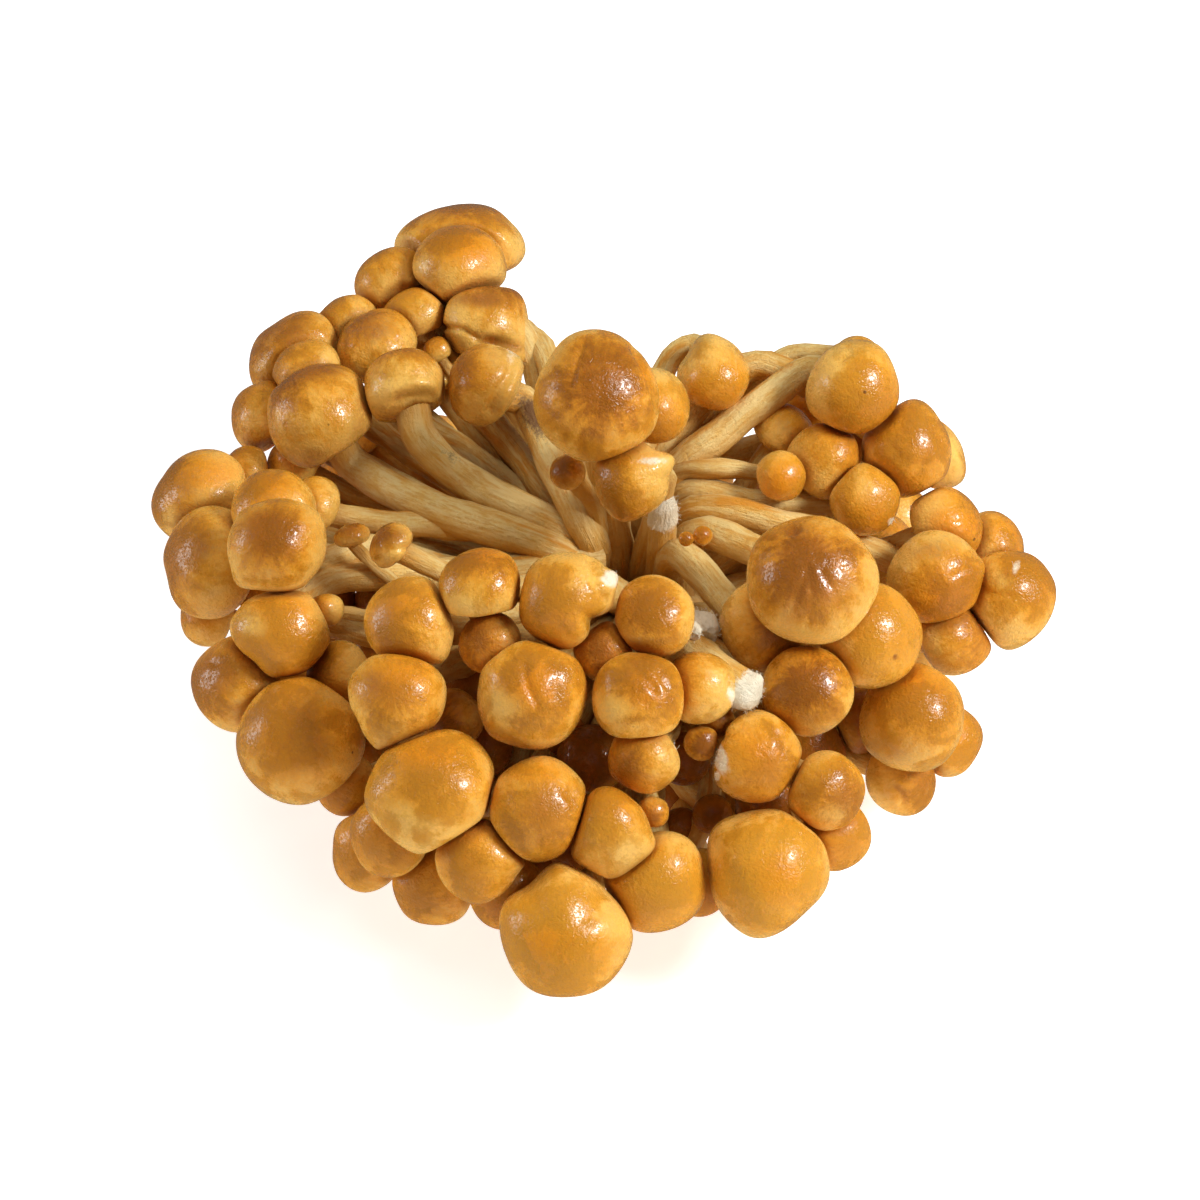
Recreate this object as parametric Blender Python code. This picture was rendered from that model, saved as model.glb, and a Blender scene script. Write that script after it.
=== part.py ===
"""A bunch of nameko mushrooms, cut from its block and set down on the cut: round caps crowded on
curved stems that part from one short butt.

World frame in metres: +Z up, the front of the bunch at -Y, the origin at the middle of the cut
face that the bunch stands on. Sizes below are in millimetres and are scaled once, by MM.
"""

import math
from collections import namedtuple

import bmesh
import bpy
import numpy as np
from mathutils import Vector

MM = 0.001
SEED = 31

# The bunch is read from the front, along a line that looks down on it. Across runs to the right,
# up runs up and away, and toward comes out of the bunch to the reader. All three start at CROWN,
# the point over the butt where the stems part.
CROWN = np.array([0.0, 0.0, 32.0])
LOOK_DOWN = math.radians(45)
ACROSS = np.array([1.0, 0.0, 0.0])
UP = np.array([0.0, math.sin(LOOK_DOWN), math.cos(LOOK_DOWN)])
TOWARD = np.array([0.0, -math.cos(LOOK_DOWN), math.sin(LOOK_DOWN)])
READING_DISTANCE = 600.0
READER = CROWN - 6.3 * ACROSS - 9.0 * UP + READING_DISTANCE * TOWARD

# The butt: half-widths of its outline from the cut up to the crown.
BUTT_OUTLINE = ((18.0, 0.0), (20.5, 5.0), (17.0, 15.0), (10.5, 24.0), (4.0, 29.0))
BUTT_SIDES = 12
BUTT_LUMPS = 0.07

# A cap's outline for a half-width of 1, from the top round the rolled margin to the dimple
# where the stem enters. The heights are for a cap as high as USUAL_HEIGHT times its width.
CAP_TOP = 0.80
CAP_OUTLINE = ((0.55, 0.66), (0.93, 0.22), (0.95, -0.34), (0.64, -0.62))
SMALL_CAP_OUTLINE = ((0.72, 0.50), (1.0, -0.08), (0.70, -0.58))
CAP_DIMPLE = -0.40
USUAL_HEIGHT = 0.78
SMALL_CAP = 11.5
LARGE_CAP = 16.5

# Stems: thickness as a share of the cap's width, and how many sides and lengths each is made of.
STEM_SHARE = 0.34
STEM_LEAST, STEM_MOST = 2.2, 6.2
STEM_SIDES, HIDDEN_SIDES = 5, 4
STEM_PARTS, THICK_STEM_PARTS = 3, 5
THICK_STEM = 5.0
STEM_TAPER = (1.12, 0.94)
FOOT_SPREAD = (3.5, 14.5)
FOOT_HEIGHT = (8.0, 25.0)
CLEAR_OF_CAPS = 1.3
LEVEL_OFF = 0.12
SPRING_BACK = 0.1
STRAIGHT_UNDER = 0.88

# How caps crowd: two that are nearer than PRESS of their joint reach part, and two that are nearer
# than NEARLY of it close up to SNUG. A cap that is seen moves sideways by LEEWAY at most.
TURN_UP = 0.62
PRESS, SNUG, NEARLY = 0.84, 0.90, 1.25
LEEWAY = 0.8
SETTLE_ROUNDS = 90
FLOOR_GAP = 0.45

# The room between two bodies, and which caps have grown together into one.
GAP, STEM_GAP = 0.32, 0.46
MOST_CAP_NODES = 59
MOST_CAPS_A_NODE = 6
LEAST_JOIN = 0.5

# Hidden mushrooms: they fill shells behind the crown, under the line of what shows in front.
SHELLS = (62.0, 50.0, 43.0)
SHELL_STEP = 12.0
BEHIND = -14.0
GOLDEN_TURN = math.pi * (3 - math.sqrt(5))
SKYLINE = ((-90, 6), (-78, 14), (-66, 34), (-50, 44), (-36, 52), (-22, 38), (-14, 24), (8, 28), (34, 28),
           (48, 18), (60, 2), (72, -12))

AMBER = (0.47, 0.20, 0.045)
CREAM = (0.66, 0.47, 0.24)

Cap = namedtuple("Cap", "across up toward width height lean stem via",
                 defaults=(USUAL_HEIGHT, None, None, ()))
Mushroom = namedtuple("Mushroom", "region centre axis width height stem via seen")

# Every mushroom that shows from the front: the middle of its cap and the cap's width, as read,
# and where they aren't the usual ones its height over its width, the way that its top leans
# (across, up, toward), its stem's thickness, and the places that its stem goes through on its way
# up. The deep ones stand under the others and show only as something dark in the gaps.
CAPS = {
    "high": [
        Cap(-30.8, 55.8, -30, 22.8, 0.58, (-0.1, 0.85, 0.25), 4.6, ((-12.5, 16, 2), (-17, 36, -12))),
        Cap(-31, 51, -17, 17, 0.8, (-0.1, 0.8, 0.5)),
        Cap(-44.5, 48.5, -25, 14.5),
        Cap(-39.7, 41, -19, 13),
        Cap(-26.5, 40.8, -6, 16.5, 0.88, (0.12, 0.95, 0.05), 4.6, ((-15, 9, 3), (-29, 28, -6))),
        Cap(-46, 37.4, -8, 15.8, 0.74, (-0.4, 0.8, 0.4)),
        Cap(-52.5, 40, -24, 13),
        Cap(-61.7, 35.4, -14, 18.6, 0.75, (-0.6, 0.6, 0.4)),
        Cap(-60, 32, -4, 13),
        Cap(-57.6, 24.6, 9, 19.6, 0.85, (-0.5, 0.75, 0.35), 6.2, ((-14, 0, 10), (-36.5, 7.5, 10))),
        Cap(-41.4, 30.3, 8, 15.6, 0.85, (-0.3, 0.9, -0.1), 6.2, ((-12, 2.5, 8), (-28.8, 11.5, 7))),
        Cap(-26.6, 29.8, 8, 14.6, 0.85, (-0.8, 0.35, 0.4), 6.0, ((-8.5, 3, 10), (-15, 16.5, 9))),
        Cap(-66.5, 23.5, -6, 14.5, 0.8),
        Cap(-35, 35.5, -9, 6),
        Cap(-62, 16, -8, 12),
    ],
    "crown": [
        Cap(-7, 28, 40, 23, 0.85, (0.05, 0.1, 1.0), 5.6),
        Cap(-12.2, 14, 24, 6.5, 0.9, (-0.5, 0.3, 0.8), 3.4),
        Cap(-0.6, 12, 32, 14.2, 0.85, (-0.65, -0.45, 0.6), 4.0),
        Cap(3.4, 25.7, 16, 13, 1.1, (0.1, -0.5, 0.9)),
        Cap(14, 31.7, 6, 13, 1.15, (0.25, -0.55, 0.8), None, ((0, 16, 2), (5.5, 33, -2))),
    ],
    "right": [
        Cap(39.2, 29.5, 14, 16.8, 0.95, (0.6, -0.35, 0.7), 5.6, ((7, 13, 4), (16, 24.5, 6))),
        Cap(40.5, 33, 2, 11.5, 0.8, (0.9, 0.4, 0.0), 5.2, ((5, 17, 0), (20, 33, -1))),
        Cap(26.3, 21.9, 0, 11.5),
        Cap(33.4, 15.8, 6, 13.5, 1.0),
        Cap(25.7, 13, 15, 9.2, 0.9, (0.5, -0.1, 0.9), None, ((6, 12, 4), (14, 14.6, 9))),
        Cap(49.3, 18.4, 8, 16.8, 1.0, (0.25, 0.2, 0.9)),
        Cap(54, 17.5, -6, 13.5),
        Cap(41.5, 8, 16, 12.8, 0.8, (0.3, -0.2, 0.9), None, ((8, 10, 5), (23.6, 9.5, 9))),
        Cap(55.5, 5, 6, 15),
        Cap(65.3, 0.5, 0, 13),
        Cap(67.8, -9, 8, 17, 0.95, (0.5, 0.45, 0.7)),
        Cap(53.4, -5, 20, 17.6, 0.85, (0.35, -0.35, 0.8), 5.0, ((9, 6.5, 7), (28.6, 4.3, 13))),
        Cap(57.5, -16, 10, 14),
    ],
    "front_right": [
        Cap(31.6, -4.4, 45, 23.8, 0.85, (-0.1, 0.35, 0.9), 5.6, ((10, 2.5, 9), (19, 1, 17))),
        Cap(23, -13, 33, 17, 0.8, None, None, ((7, -1, 12), (13.5, -6, 20))),
        Cap(43.2, -15, 35, 19.2, 0.85),
        Cap(31, -26, 36, 16.8, 0.8, (-0.1, 0.3, 0.9)),
        Cap(50.3, -31.2, 28, 18.8, 1.1, (0.2, 0.35, 0.9)),
        Cap(56.6, -35, 13, 13.4),
        Cap(48.5, -41, 19, 14.2),
        Cap(35.2, -43.3, 41, 14.6),
        Cap(37, -51, 32, 13),
        Cap(21.8, -38.3, 51, 17.3, 0.85),
        Cap(24.3, -58.4, 46, 22.8, 1.0, (0.05, -0.1, 1.0), 5.6),
        Cap(12.5, -60, 34, 12.5, 0.8, None, None, ((8, -18, 20), (13.5, -40, 28))),
        Cap(12.1, -35.5, 42, 6.8),
        Cap(15.6, -31, 37, 6.4),
    ],
    "front": [
        Cap(2.9, -60.2, 43, 19.2),
        Cap(-3.5, -50.3, 56, 15.2, 1.2, (-0.1, 0.6, 0.7)),
        Cap(4, -47, 46, 6),
        Cap(-12.4, -70, 47, 23.2, 0.9, (-0.1, -0.25, 0.95), 5.6),
        Cap(-16.5, -46.5, 61, 19.4, 0.85, (0.1, -0.1, 1.0)),
        Cap(-22.5, -61.3, 38, 14.6),
        Cap(-29.3, -55.2, 49, 15.5),
        Cap(-37.4, -43.2, 51, 23.2, 0.85, (-0.1, 0.4, 0.9)),
        Cap(-36.3, -61, 34, 15.6),
        Cap(-45.2, -51.5, 38, 15.2, 0.75),
        Cap(-48.6, -54.3, 26, 14.2),
        Cap(3, -11.2, 47, 15.2, 0.8, (-0.2, 0.25, 0.95)),
        Cap(1.6, -26.5, 59, 17.2, 0.85, (0.1, 0.25, 0.95)),
        Cap(11.4, -24, 46, 13.6, 0.95, (-0.7, 0.35, 0.6), 5.0),
        Cap(1.5, -36.8, 46, 13.2, 0.8, (-0.5, -0.3, 0.7)),
        Cap(-5, -17.5, 38, 11),
    ],
    "front_left": [
        Cap(-28.5, -6.3, 45, 15.6, 0.85, (-0.05, 0.85, 0.5)),
        Cap(-33.5, -30, 37, 11.5),
        Cap(-19.3, -25.6, 60, 20.3, 0.85, (0.05, 0.15, 1.0)),
        Cap(-26, -17.5, 40, 11.5),
        Cap(-11.8, -8.7, 51, 18.4, 0.9, (-0.45, -0.1, 0.9)),
        Cap(-41.5, -12.8, 44, 16.8),
        Cap(-43.5, -25.9, 50, 17.6, 0.85, (-0.05, 0.2, 1.0)),
        Cap(-53, -23, 27, 12.5),
    ],
    "left": [
        Cap(-60, -34.5, 35, 23, 0.9, (-0.15, 0.25, 1.0)),
        Cap(-52.5, -41.5, 27, 12),
        Cap(-72, -23.5, 20, 17.3),
        Cap(-63.9, -14.1, 35, 17.4, 0.85, (-0.2, -0.1, 0.95)),
        Cap(-54.8, -10.4, 28, 5.8, 1.1),
        Cap(-77, -2.9, 20, 20.8, 0.72, (-0.8, 0.15, 0.55)),
        Cap(-64.4, 1.6, 39, 17.8, 0.9, (-0.1, 0.25, 1.0)),
        Cap(-64.5, 8, 26, 15.5, 0.85, (-0.3, 0.6, 0.7)),
        Cap(-58.8, 8, 17, 11),
        Cap(-78.8, 9.9, 8, 18.2),
        Cap(-70, 13.5, 0, 10),
        Cap(-77, -12.5, 10, 11.5),
        Cap(-44, 1, 35, 9, 0.7, (-0.75, 0.6, 0.3), 4.0),
        Cap(-51, 2.6, 25, 6.8, 0.6, (-0.2, 0.95, 0.2)),
    ],
    "deep": [
        Cap(-48, -36, 14, 13),
        Cap(-28, -36, 26, 14),
        Cap(-8, -38, 34, 13),
        Cap(-16, -57, 28, 13),
        Cap(7, -44, 8, 12),
        Cap(31, -37, 18, 13),
        Cap(40, -29, 14, 13),
        Cap(24, -46, 26, 12),
        Cap(33, -17, 14, 14),
        Cap(-29, -26, 22, 12),
        Cap(-56, -12, 8, 13),
        Cap(-44, -9, 12, 13),
        Cap(-47, -19, 12, 11),
        Cap(41, 19, -15, 13),
    ],
}

# Stems that lost their caps: (across, up, toward) of the torn end, and the thickness there.
TORN_STEMS = ((5.3, 10.0, 20.0, 5.4), (13.6, -14.5, 36.0, 5.6))


def unit(vector):
    vector = np.asarray(vector, float)
    return vector / np.linalg.norm(vector)


def at(across, up, toward):
    """The place of what is read at (across, up), as far toward the reader as it says."""
    read = CROWN + across * ACROSS + up * UP
    return read + (READER - read) * (toward / READING_DISTANCE)


def grown_axis(centre):
    """The way a cap faces if nothing bends it: out from the crown, turned up a little."""
    return unit(unit(centre - CROWN) + TURN_UP * np.array([0.0, 0.0, 1.0]))


def stem_thickness(width):
    return float(np.clip(STEM_SHARE * width, STEM_LEAST, STEM_MOST))


def listed_mushrooms():
    found = []
    for region, caps in CAPS.items():
        for cap in caps:
            centre = at(cap.across, cap.up, cap.toward)
            width = cap.width * (1 - cap.toward / READING_DISTANCE)
            if cap.lean:
                axis = unit(cap.lean[0] * ACROSS + cap.lean[1] * UP + cap.lean[2] * TOWARD)
            else:
                axis = grown_axis(centre)
            stem = cap.stem or stem_thickness(width)
            via = tuple(at(*place) for place in cap.via)
            found.append(Mushroom(region, centre, axis, width, cap.height, stem, via, region != "deep"))
    return found


def hidden_mushrooms(others):
    """Mushrooms behind the crown, on a golden spiral over each shell, where there is room."""
    rng = np.random.default_rng(SEED)
    found = []
    for shell in SHELLS:
        spots = int(4 * math.pi * shell**2 / SHELL_STEP**2)
        for k in range(spots):
            rise = 1 - 2 * (k + 0.5) / spots
            spin = k * GOLDEN_TURN
            level = math.sqrt(1 - rise * rise)
            reach = shell * rng.uniform(0.93, 1.05)
            width = rng.uniform(12.5, 18.0)
            from_crown = reach * np.array([level * math.cos(spin), level * math.sin(spin), rise])
            centre = CROWN + from_crown
            line = np.interp(from_crown @ ACROSS, *zip(*SKYLINE))
            behind = from_crown @ TOWARD < BEHIND and from_crown @ UP + width / 2 < line
            room = all(np.linalg.norm(centre - m.centre) > 0.44 * (width + m.width) for m in others + found)
            if behind and room and centre[2] > 0.46 * width:
                axis, stem = grown_axis(centre), stem_thickness(width)
                found.append(Mushroom("back", centre, axis, width, USUAL_HEIGHT, stem, (), False))
    return found


def settled(mushrooms):
    """Moves caps that press too deep apart, and caps that nearly touch together. A cap that is seen
    keeps its place in the view: it moves toward the reader or away, and hardly sideways."""
    start = np.array([m.centre for m in mushrooms])
    centres = start.copy()
    radii = np.array([0.25 * m.width * (1 + min(m.height, 1.0)) for m in mushrooms])
    seen = np.array([m.seen for m in mushrooms])[:, None]
    reach = radii[:, None] + radii[None, :]
    sight = (READER - centres) / np.linalg.norm(READER - centres, axis=1)[:, None]
    for _ in range(SETTLE_ROUNDS):
        apart = centres[:, None, :] - centres[None, :, :]
        distance = np.linalg.norm(apart, axis=2)
        np.fill_diagonal(distance, 1e9)
        push = np.clip(PRESS * reach - distance, 0, None)
        pull = np.where(distance < NEARLY * reach, np.clip(distance - SNUG * reach, 0, None), 0)
        force = (apart / distance[:, :, None] * (push - 0.3 * pull)[:, :, None]).sum(axis=1)
        centres += 0.25 * force
        lift = np.where(seen, sight / np.maximum(sight[:, 2:3], 0.2), np.array([0, 0, 1.0]))
        centres += lift * np.clip(radii * 0.98 + FLOOR_GAP - centres[:, 2], 0, None)[:, None]
        moved = centres - start
        along = (moved * sight).sum(axis=1)[:, None] * sight
        aside = moved - along
        far = np.linalg.norm(aside, axis=1)[:, None] + 1e-9
        centres = np.where(seen, start + along + aside * np.minimum(1, LEEWAY / far), centres)
    return [m._replace(centre=c) for m, c in zip(mushrooms, centres)]


def outermost(m):
    """How far from its middle a cap reaches at most."""
    return m.width / 2 * max(1.0, CAP_TOP * m.height / USUAL_HEIGHT)


def reach_toward(m, direction):
    """How far a cap reaches from its middle in one direction, read off its outline."""
    rise = m.height / USUAL_HEIGHT
    outline = np.array([(0, CAP_TOP), *CAP_OUTLINE, (0, CAP_DIMPLE)]) * [0.96, rise]
    along = direction @ m.axis
    ray = np.array([math.sqrt(max(0.0, 1 - along * along)), along])
    far = 0.0
    for p, q in zip(outline[:-1], outline[1:]):
        edge = q - p
        crossing = ray[0] * edge[1] - ray[1] * edge[0]
        if abs(crossing) < 1e-9:
            continue
        distance = (p[0] * edge[1] - p[1] * edge[0]) / crossing
        place = (p[0] * ray[1] - p[1] * ray[0]) / crossing
        if distance > 0 and -1e-9 <= place <= 1 + 1e-9:
            far = max(far, distance)
    return far * m.width / 2


def contacts(mushrooms):
    """(depth, i, j) of every two caps that are near enough to press, deepest first."""
    found = []
    for i, a in enumerate(mushrooms):
        for j in range(i + 1, len(mushrooms)):
            b = mushrooms[j]
            apart = b.centre - a.centre
            distance = np.linalg.norm(apart)
            if distance < outermost(a) + outermost(b) + GAP:
                toward = apart / distance
                found.append((reach_toward(a, toward) + reach_toward(b, -toward) - distance, i, j))
    return sorted(found, reverse=True)


def grouped(mushrooms, pressed):
    """Caps that press hardest grow into one body, until there are few enough bodies."""
    group = list(range(len(mushrooms)))
    for depth, i, j in pressed:
        if len(set(group)) <= MOST_CAP_NODES:
            break
        a, b = group[i], group[j]
        together = group.count(a) + group.count(b)
        if a != b and together <= MOST_CAPS_A_NODE and depth > LEAST_JOIN:
            group = [a if g == b else g for g in group]
    return group


def contact_plane(a, b):
    """(point, normal from a to b) of the face where two caps press on each other."""
    apart = b.centre - a.centre
    distance = np.linalg.norm(apart)
    normal = apart / distance
    near, far = reach_toward(a, normal), reach_toward(b, -normal)
    return a.centre + apart * near / (near + far), normal


def frame_of(axis):
    """Two directions square to an axis."""
    side = unit(np.cross(axis, [0.31, 0.17, 0.93] if abs(axis[2]) < 0.9 else [1.0, 0.2, 0.1]))
    return side, np.cross(axis, side)


def mesh_object(name, points, faces, collection):
    mesh = bpy.data.meshes.new(name)
    mesh.from_pydata([Vector(p) * MM for p in points], [], faces)
    mesh.validate()
    obj = bpy.data.objects.new(name, mesh)
    collection.objects.link(obj)
    return obj


def cap_points(mushroom, planes, grow=0.0):
    """Points and faces of a cap, turned about its axis and pressed flat where a neighbour is."""
    outline = outline_of(mushroom)
    sides = 7 if outline is SMALL_CAP_OUTLINE else 10 if mushroom.width > LARGE_CAP else 8
    half = mushroom.width / 2
    rise = half * mushroom.height / USUAL_HEIGHT
    side, other = frame_of(mushroom.axis)
    points = [mushroom.centre + mushroom.axis * CAP_TOP * rise]
    for r, z in outline:
        for k in range(sides):
            turn = 2 * math.pi * k / sides
            ray = math.cos(turn) * side + math.sin(turn) * other
            points.append(mushroom.centre + ray * r * half + mushroom.axis * z * rise)
    points.append(mushroom.centre + mushroom.axis * CAP_DIMPLE * rise)
    last = len(points) - 1
    faces = [(0, 1 + k, 1 + (k + 1) % sides) for k in range(sides)]
    for ring in range(len(outline) - 1):
        first = 1 + ring * sides
        for k in range(sides):
            n = (k + 1) % sides
            faces.append((first + k, first + sides + k, first + sides + n, first + n))
    first = 1 + (len(outline) - 1) * sides
    faces += [(first + k, last, first + (k + 1) % sides) for k in range(sides)]
    points = np.array(points)
    for point, normal in planes:
        over = np.clip((points - point) @ normal + GAP / 2, 0, None)
        points -= over[:, None] * normal
    if grow:
        middle = points.mean(axis=0)
        out = points - middle
        points = middle + out * (1 + grow / np.linalg.norm(out, axis=1))[:, None]
    return points, faces


def outline_of(m):
    return SMALL_CAP_OUTLINE if m.width < SMALL_CAP or not m.seen else CAP_OUTLINE


def stem_top(m):
    """The middle of a stem's end: as near to the hollow under the cap as the stem's edge allows."""
    half = m.width / 2
    margin, depth = outline_of(m)[-1]
    edge = STEM_TAPER[1] * m.stem / 2 / (margin * half)
    under = np.interp(edge, (0, 1), (CAP_DIMPLE, depth)) * half * m.height / USUAL_HEIGHT
    return m.centre + m.axis * (under - STEM_GAP)


def stem_line(m, foot, parts):
    """Points from the butt to the cap: up at the foot, then over to the cap's axis. Where the places
    on the way are known, they are its points."""
    top = stem_top(m)
    length = np.linalg.norm(top - foot)
    if m.via:
        return np.array([foot, *m.via, top - LEVEL_OFF * length * m.axis, top])
    start = unit(unit(top - foot) + np.array([0.0, 0.0, 0.3]))
    bends = (foot, foot + 0.36 * length * start, top - 0.30 * length * m.axis, top)
    steps = np.linspace(0, 1, parts + 1)[:, None]
    weights = ((1 - steps) ** 3, 3 * steps * (1 - steps) ** 2, 3 * steps**2 * (1 - steps), steps**3)
    return sum(w * p for w, p in zip(weights, bends))


def foot_of(centre):
    """Where in the butt a stem starts: low and far out for a low cap, high and near the middle for a
    high one."""
    out = centre[:2] - CROWN[:2]
    high = float(np.clip((centre[2] - 8) / 62, 0, 1))
    spread = np.interp(1 - high, (0, 1), FOOT_SPREAD)
    return np.array([*(unit(out) * spread), np.interp(high, (0, 1), FOOT_HEIGHT)])


def bent_clear(line, own, mushrooms):
    """Bends a stem round the caps of other mushrooms, with both ends kept, and as near to its own
    curve as it can."""
    start = line[1:-1].copy()
    line = line.copy()
    others = [m for m in mushrooms if m is not own]
    middles = np.array([m.centre for m in others])
    keep_off = np.array([m.width / 2 for m in others]) + own.stem / 2 + CLEAR_OF_CAPS
    for _ in range(60):
        apart = line[1:-1, None, :] - middles[None, :, :]
        distance = np.linalg.norm(apart, axis=2) + 1e-9
        short = np.clip(keep_off[None, :] - distance, 0, None)
        line[1:-1] += (apart / distance[:, :, None] * short[:, :, None]).sum(axis=1) * 0.6
        line[1:-1] += SPRING_BACK * (start - line[1:-1])
    return line


def passed_by(line, thick, own, mushrooms):
    """Which caps a stem comes near enough to cut: others', and its own if it has to turn under it."""
    steps = np.linspace(0, len(line) - 1, 8 * len(line))
    fine = np.stack([np.interp(steps, range(len(line)), line[:, k]) for k in range(3)], axis=1)
    keep_off = STEM_TAPER[0] * thick / 2 + 2 * GAP
    near = set()
    for i, m in enumerate(mushrooms):
        if m is own and unit(line[-1] - line[-2]) @ m.axis > STRAIGHT_UNDER:
            continue
        away = np.linalg.norm(fine - m.centre, axis=1)
        for k in np.flatnonzero(away < outermost(m) + keep_off):
            if away[k] < reach_toward(m, (fine[k] - m.centre) / away[k]) + keep_off:
                near.add(i)
                break
    return near


def tube_points(line, thickness, sides, end):
    """A stem's points and faces: round it at each point of its line, with closed ends, the last one
    square to the way that it ends."""
    points, faces = [], []
    side = None
    for i, p in enumerate(line):
        ahead = unit(line[i + 1] - line[max(i - 1, 0)]) if i < len(line) - 1 else end
        if side is None:
            side = frame_of(ahead)[0]
        side = unit(side - (side @ ahead) * ahead)
        other = np.cross(ahead, side)
        for k in range(sides):
            turn = 2 * math.pi * k / sides
            points.append(p + thickness[i] / 2 * (math.cos(turn) * side + math.sin(turn) * other))
    for i in range(len(line) - 1):
        for k in range(sides):
            n = (k + 1) % sides
            faces.append((i * sides + k, i * sides + n, (i + 1) * sides + n, (i + 1) * sides + k))
    faces.append(tuple(reversed(range(sides))))
    faces.append(tuple((len(line) - 1) * sides + k for k in range(sides)))
    return np.array(points), faces


def butt_points():
    """The butt: the short lumpy foot that all stems grow from, cut flat below."""
    points, faces = [], []
    for level, (r, z) in enumerate(BUTT_OUTLINE):
        for k in range(BUTT_SIDES):
            turn = 2 * math.pi * k / BUTT_SIDES
            lump = 1 + BUTT_LUMPS * math.sin(3 * turn + level) * math.cos(5 * turn - 2 * level)
            points.append((r * lump * math.cos(turn), r * lump * math.sin(turn), z))
    for level in range(len(BUTT_OUTLINE) - 1):
        for k in range(BUTT_SIDES):
            n = (k + 1) % BUTT_SIDES
            first, above = level * BUTT_SIDES, (level + 1) * BUTT_SIDES
            faces.append((first + k, first + n, above + n, above + k))
    faces.append(tuple(reversed(range(BUTT_SIDES))))
    faces.append(tuple((len(BUTT_OUTLINE) - 1) * BUTT_SIDES + k for k in range(BUTT_SIDES)))
    return np.array(points), faces


def boolean(obj, operation, collection):
    """Joins a collection to an object, or cuts it away, and removes what the collection held."""
    modifier = obj.modifiers.new(operation.title(), "BOOLEAN")
    modifier.operation = operation
    modifier.solver = "MANIFOLD"
    modifier.operand_type = "COLLECTION"
    modifier.collection = collection
    graph = bpy.context.evaluated_depsgraph_get()
    made = bpy.data.meshes.new_from_object(obj.evaluated_get(graph))
    obj.modifiers.clear()
    obj.data = made
    for helper in list(collection.objects):
        bpy.data.objects.remove(helper)
    bpy.data.collections.remove(collection)


def keep_largest_body(obj):
    """Drops loose scraps that a cut leaves."""
    mesh = bmesh.new()
    mesh.from_mesh(obj.data)
    left, bodies = set(mesh.verts), []
    while left:
        body, edge = set(), {left.pop()}
        while edge:
            vert = edge.pop()
            body.add(vert)
            edge |= {e.other_vert(vert) for e in vert.link_edges} - body
        left -= body
        bodies.append(body)
    bodies.sort(key=len)
    for body in bodies[:-1]:
        bmesh.ops.delete(mesh, geom=list(body), context="VERTS")
    mesh.to_mesh(obj.data)
    mesh.free()


def material(name, colour, roughness):
    made = bpy.data.materials.new(name)
    made.use_nodes = True
    shader = made.node_tree.nodes["Principled BSDF"]
    shader.inputs["Base Color"].default_value = (*colour, 1)
    shader.inputs["Roughness"].default_value = roughness
    shader.inputs["Metallic"].default_value = 0
    return made


def finish(obj, surface):
    obj.data.materials.clear()
    obj.data.materials.append(surface)
    obj.data.shade_smooth()


def helper_collection(name):
    made = bpy.data.collections.new(name)
    bpy.context.scene.collection.children.link(made)
    return made


def build_caps(mushrooms, pressed, group, skin):
    """One object for each group of caps that have grown together."""
    numbers = {}
    for g in sorted(set(group), key=group.index):
        members = [i for i in range(len(mushrooms)) if group[i] == g]
        region = mushrooms[members[0]].region
        numbers[region] = numbers.get(region, 0) + 1
        name = f"{'caps' if len(members) > 1 else 'cap'}_{region}_{numbers[region]:02d}"
        joined = helper_collection("grown together")
        made = []
        for i in members:
            planes = [
                contact_plane(mushrooms[i], mushrooms[b if a == i else a])
                for _, a, b in pressed
                if i in (a, b) and group[a] != group[b]
            ]
            points, faces = cap_points(mushrooms[i], planes)
            first = not made
            made.append(mesh_object(name, points, faces, bpy.context.scene.collection if first else joined))
        if len(made) > 1:
            boolean(made[0], "UNION", joined)
        else:
            bpy.data.collections.remove(joined)
        finish(made[0], skin)


def build_stems(mushrooms, flesh):
    """The butt and every stem as one body, cut back from the caps that a stem still passes through."""
    stems = helper_collection("stems")
    in_the_way = set()
    for m in mushrooms:
        parts = THICK_STEM_PARTS if m.stem > THICK_STEM else STEM_PARTS
        line = bent_clear(stem_line(m, foot_of(m.centre), parts), m, mushrooms)
        thickness = np.linspace(*STEM_TAPER, len(line)) * m.stem
        sides = STEM_SIDES if m.seen else HIDDEN_SIDES
        mesh_object("stem", *tube_points(line, thickness, sides, m.axis), stems)
        in_the_way |= passed_by(line, m.stem, m, mushrooms)
    for across, up, toward, thick in TORN_STEMS:
        end = at(across, up, toward)
        foot = foot_of(end)
        line = np.array([foot, (foot + end) / 2 + (0, 0, 2), end])
        mesh_object("torn stem", *tube_points(line, [thick] * 3, STEM_SIDES, unit(end - foot)), stems)
        in_the_way |= passed_by(line, thick, None, mushrooms)
    butt = mesh_object("stems_and_butt", *butt_points(), bpy.context.scene.collection)
    boolean(butt, "UNION", stems)
    room = helper_collection("room for caps")
    for i in sorted(in_the_way):
        mesh_object("cap room", *cap_points(mushrooms[i], [], grow=GAP * 1.3), room)
    boolean(butt, "DIFFERENCE", room)
    keep_largest_body(butt)
    finish(butt, flesh)


def main():
    for obj in list(bpy.data.objects):
        bpy.data.objects.remove(obj)
    listed = listed_mushrooms()
    mushrooms = settled(listed + hidden_mushrooms(listed))
    pressed = contacts(mushrooms)
    group = grouped(mushrooms, pressed)
    build_caps(mushrooms, pressed, group, material("cap skin", AMBER, 0.3))
    build_stems(mushrooms, material("stem flesh", CREAM, 0.6))
    return mushrooms, pressed, group


if __name__ == "__main__":
    main()
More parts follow.
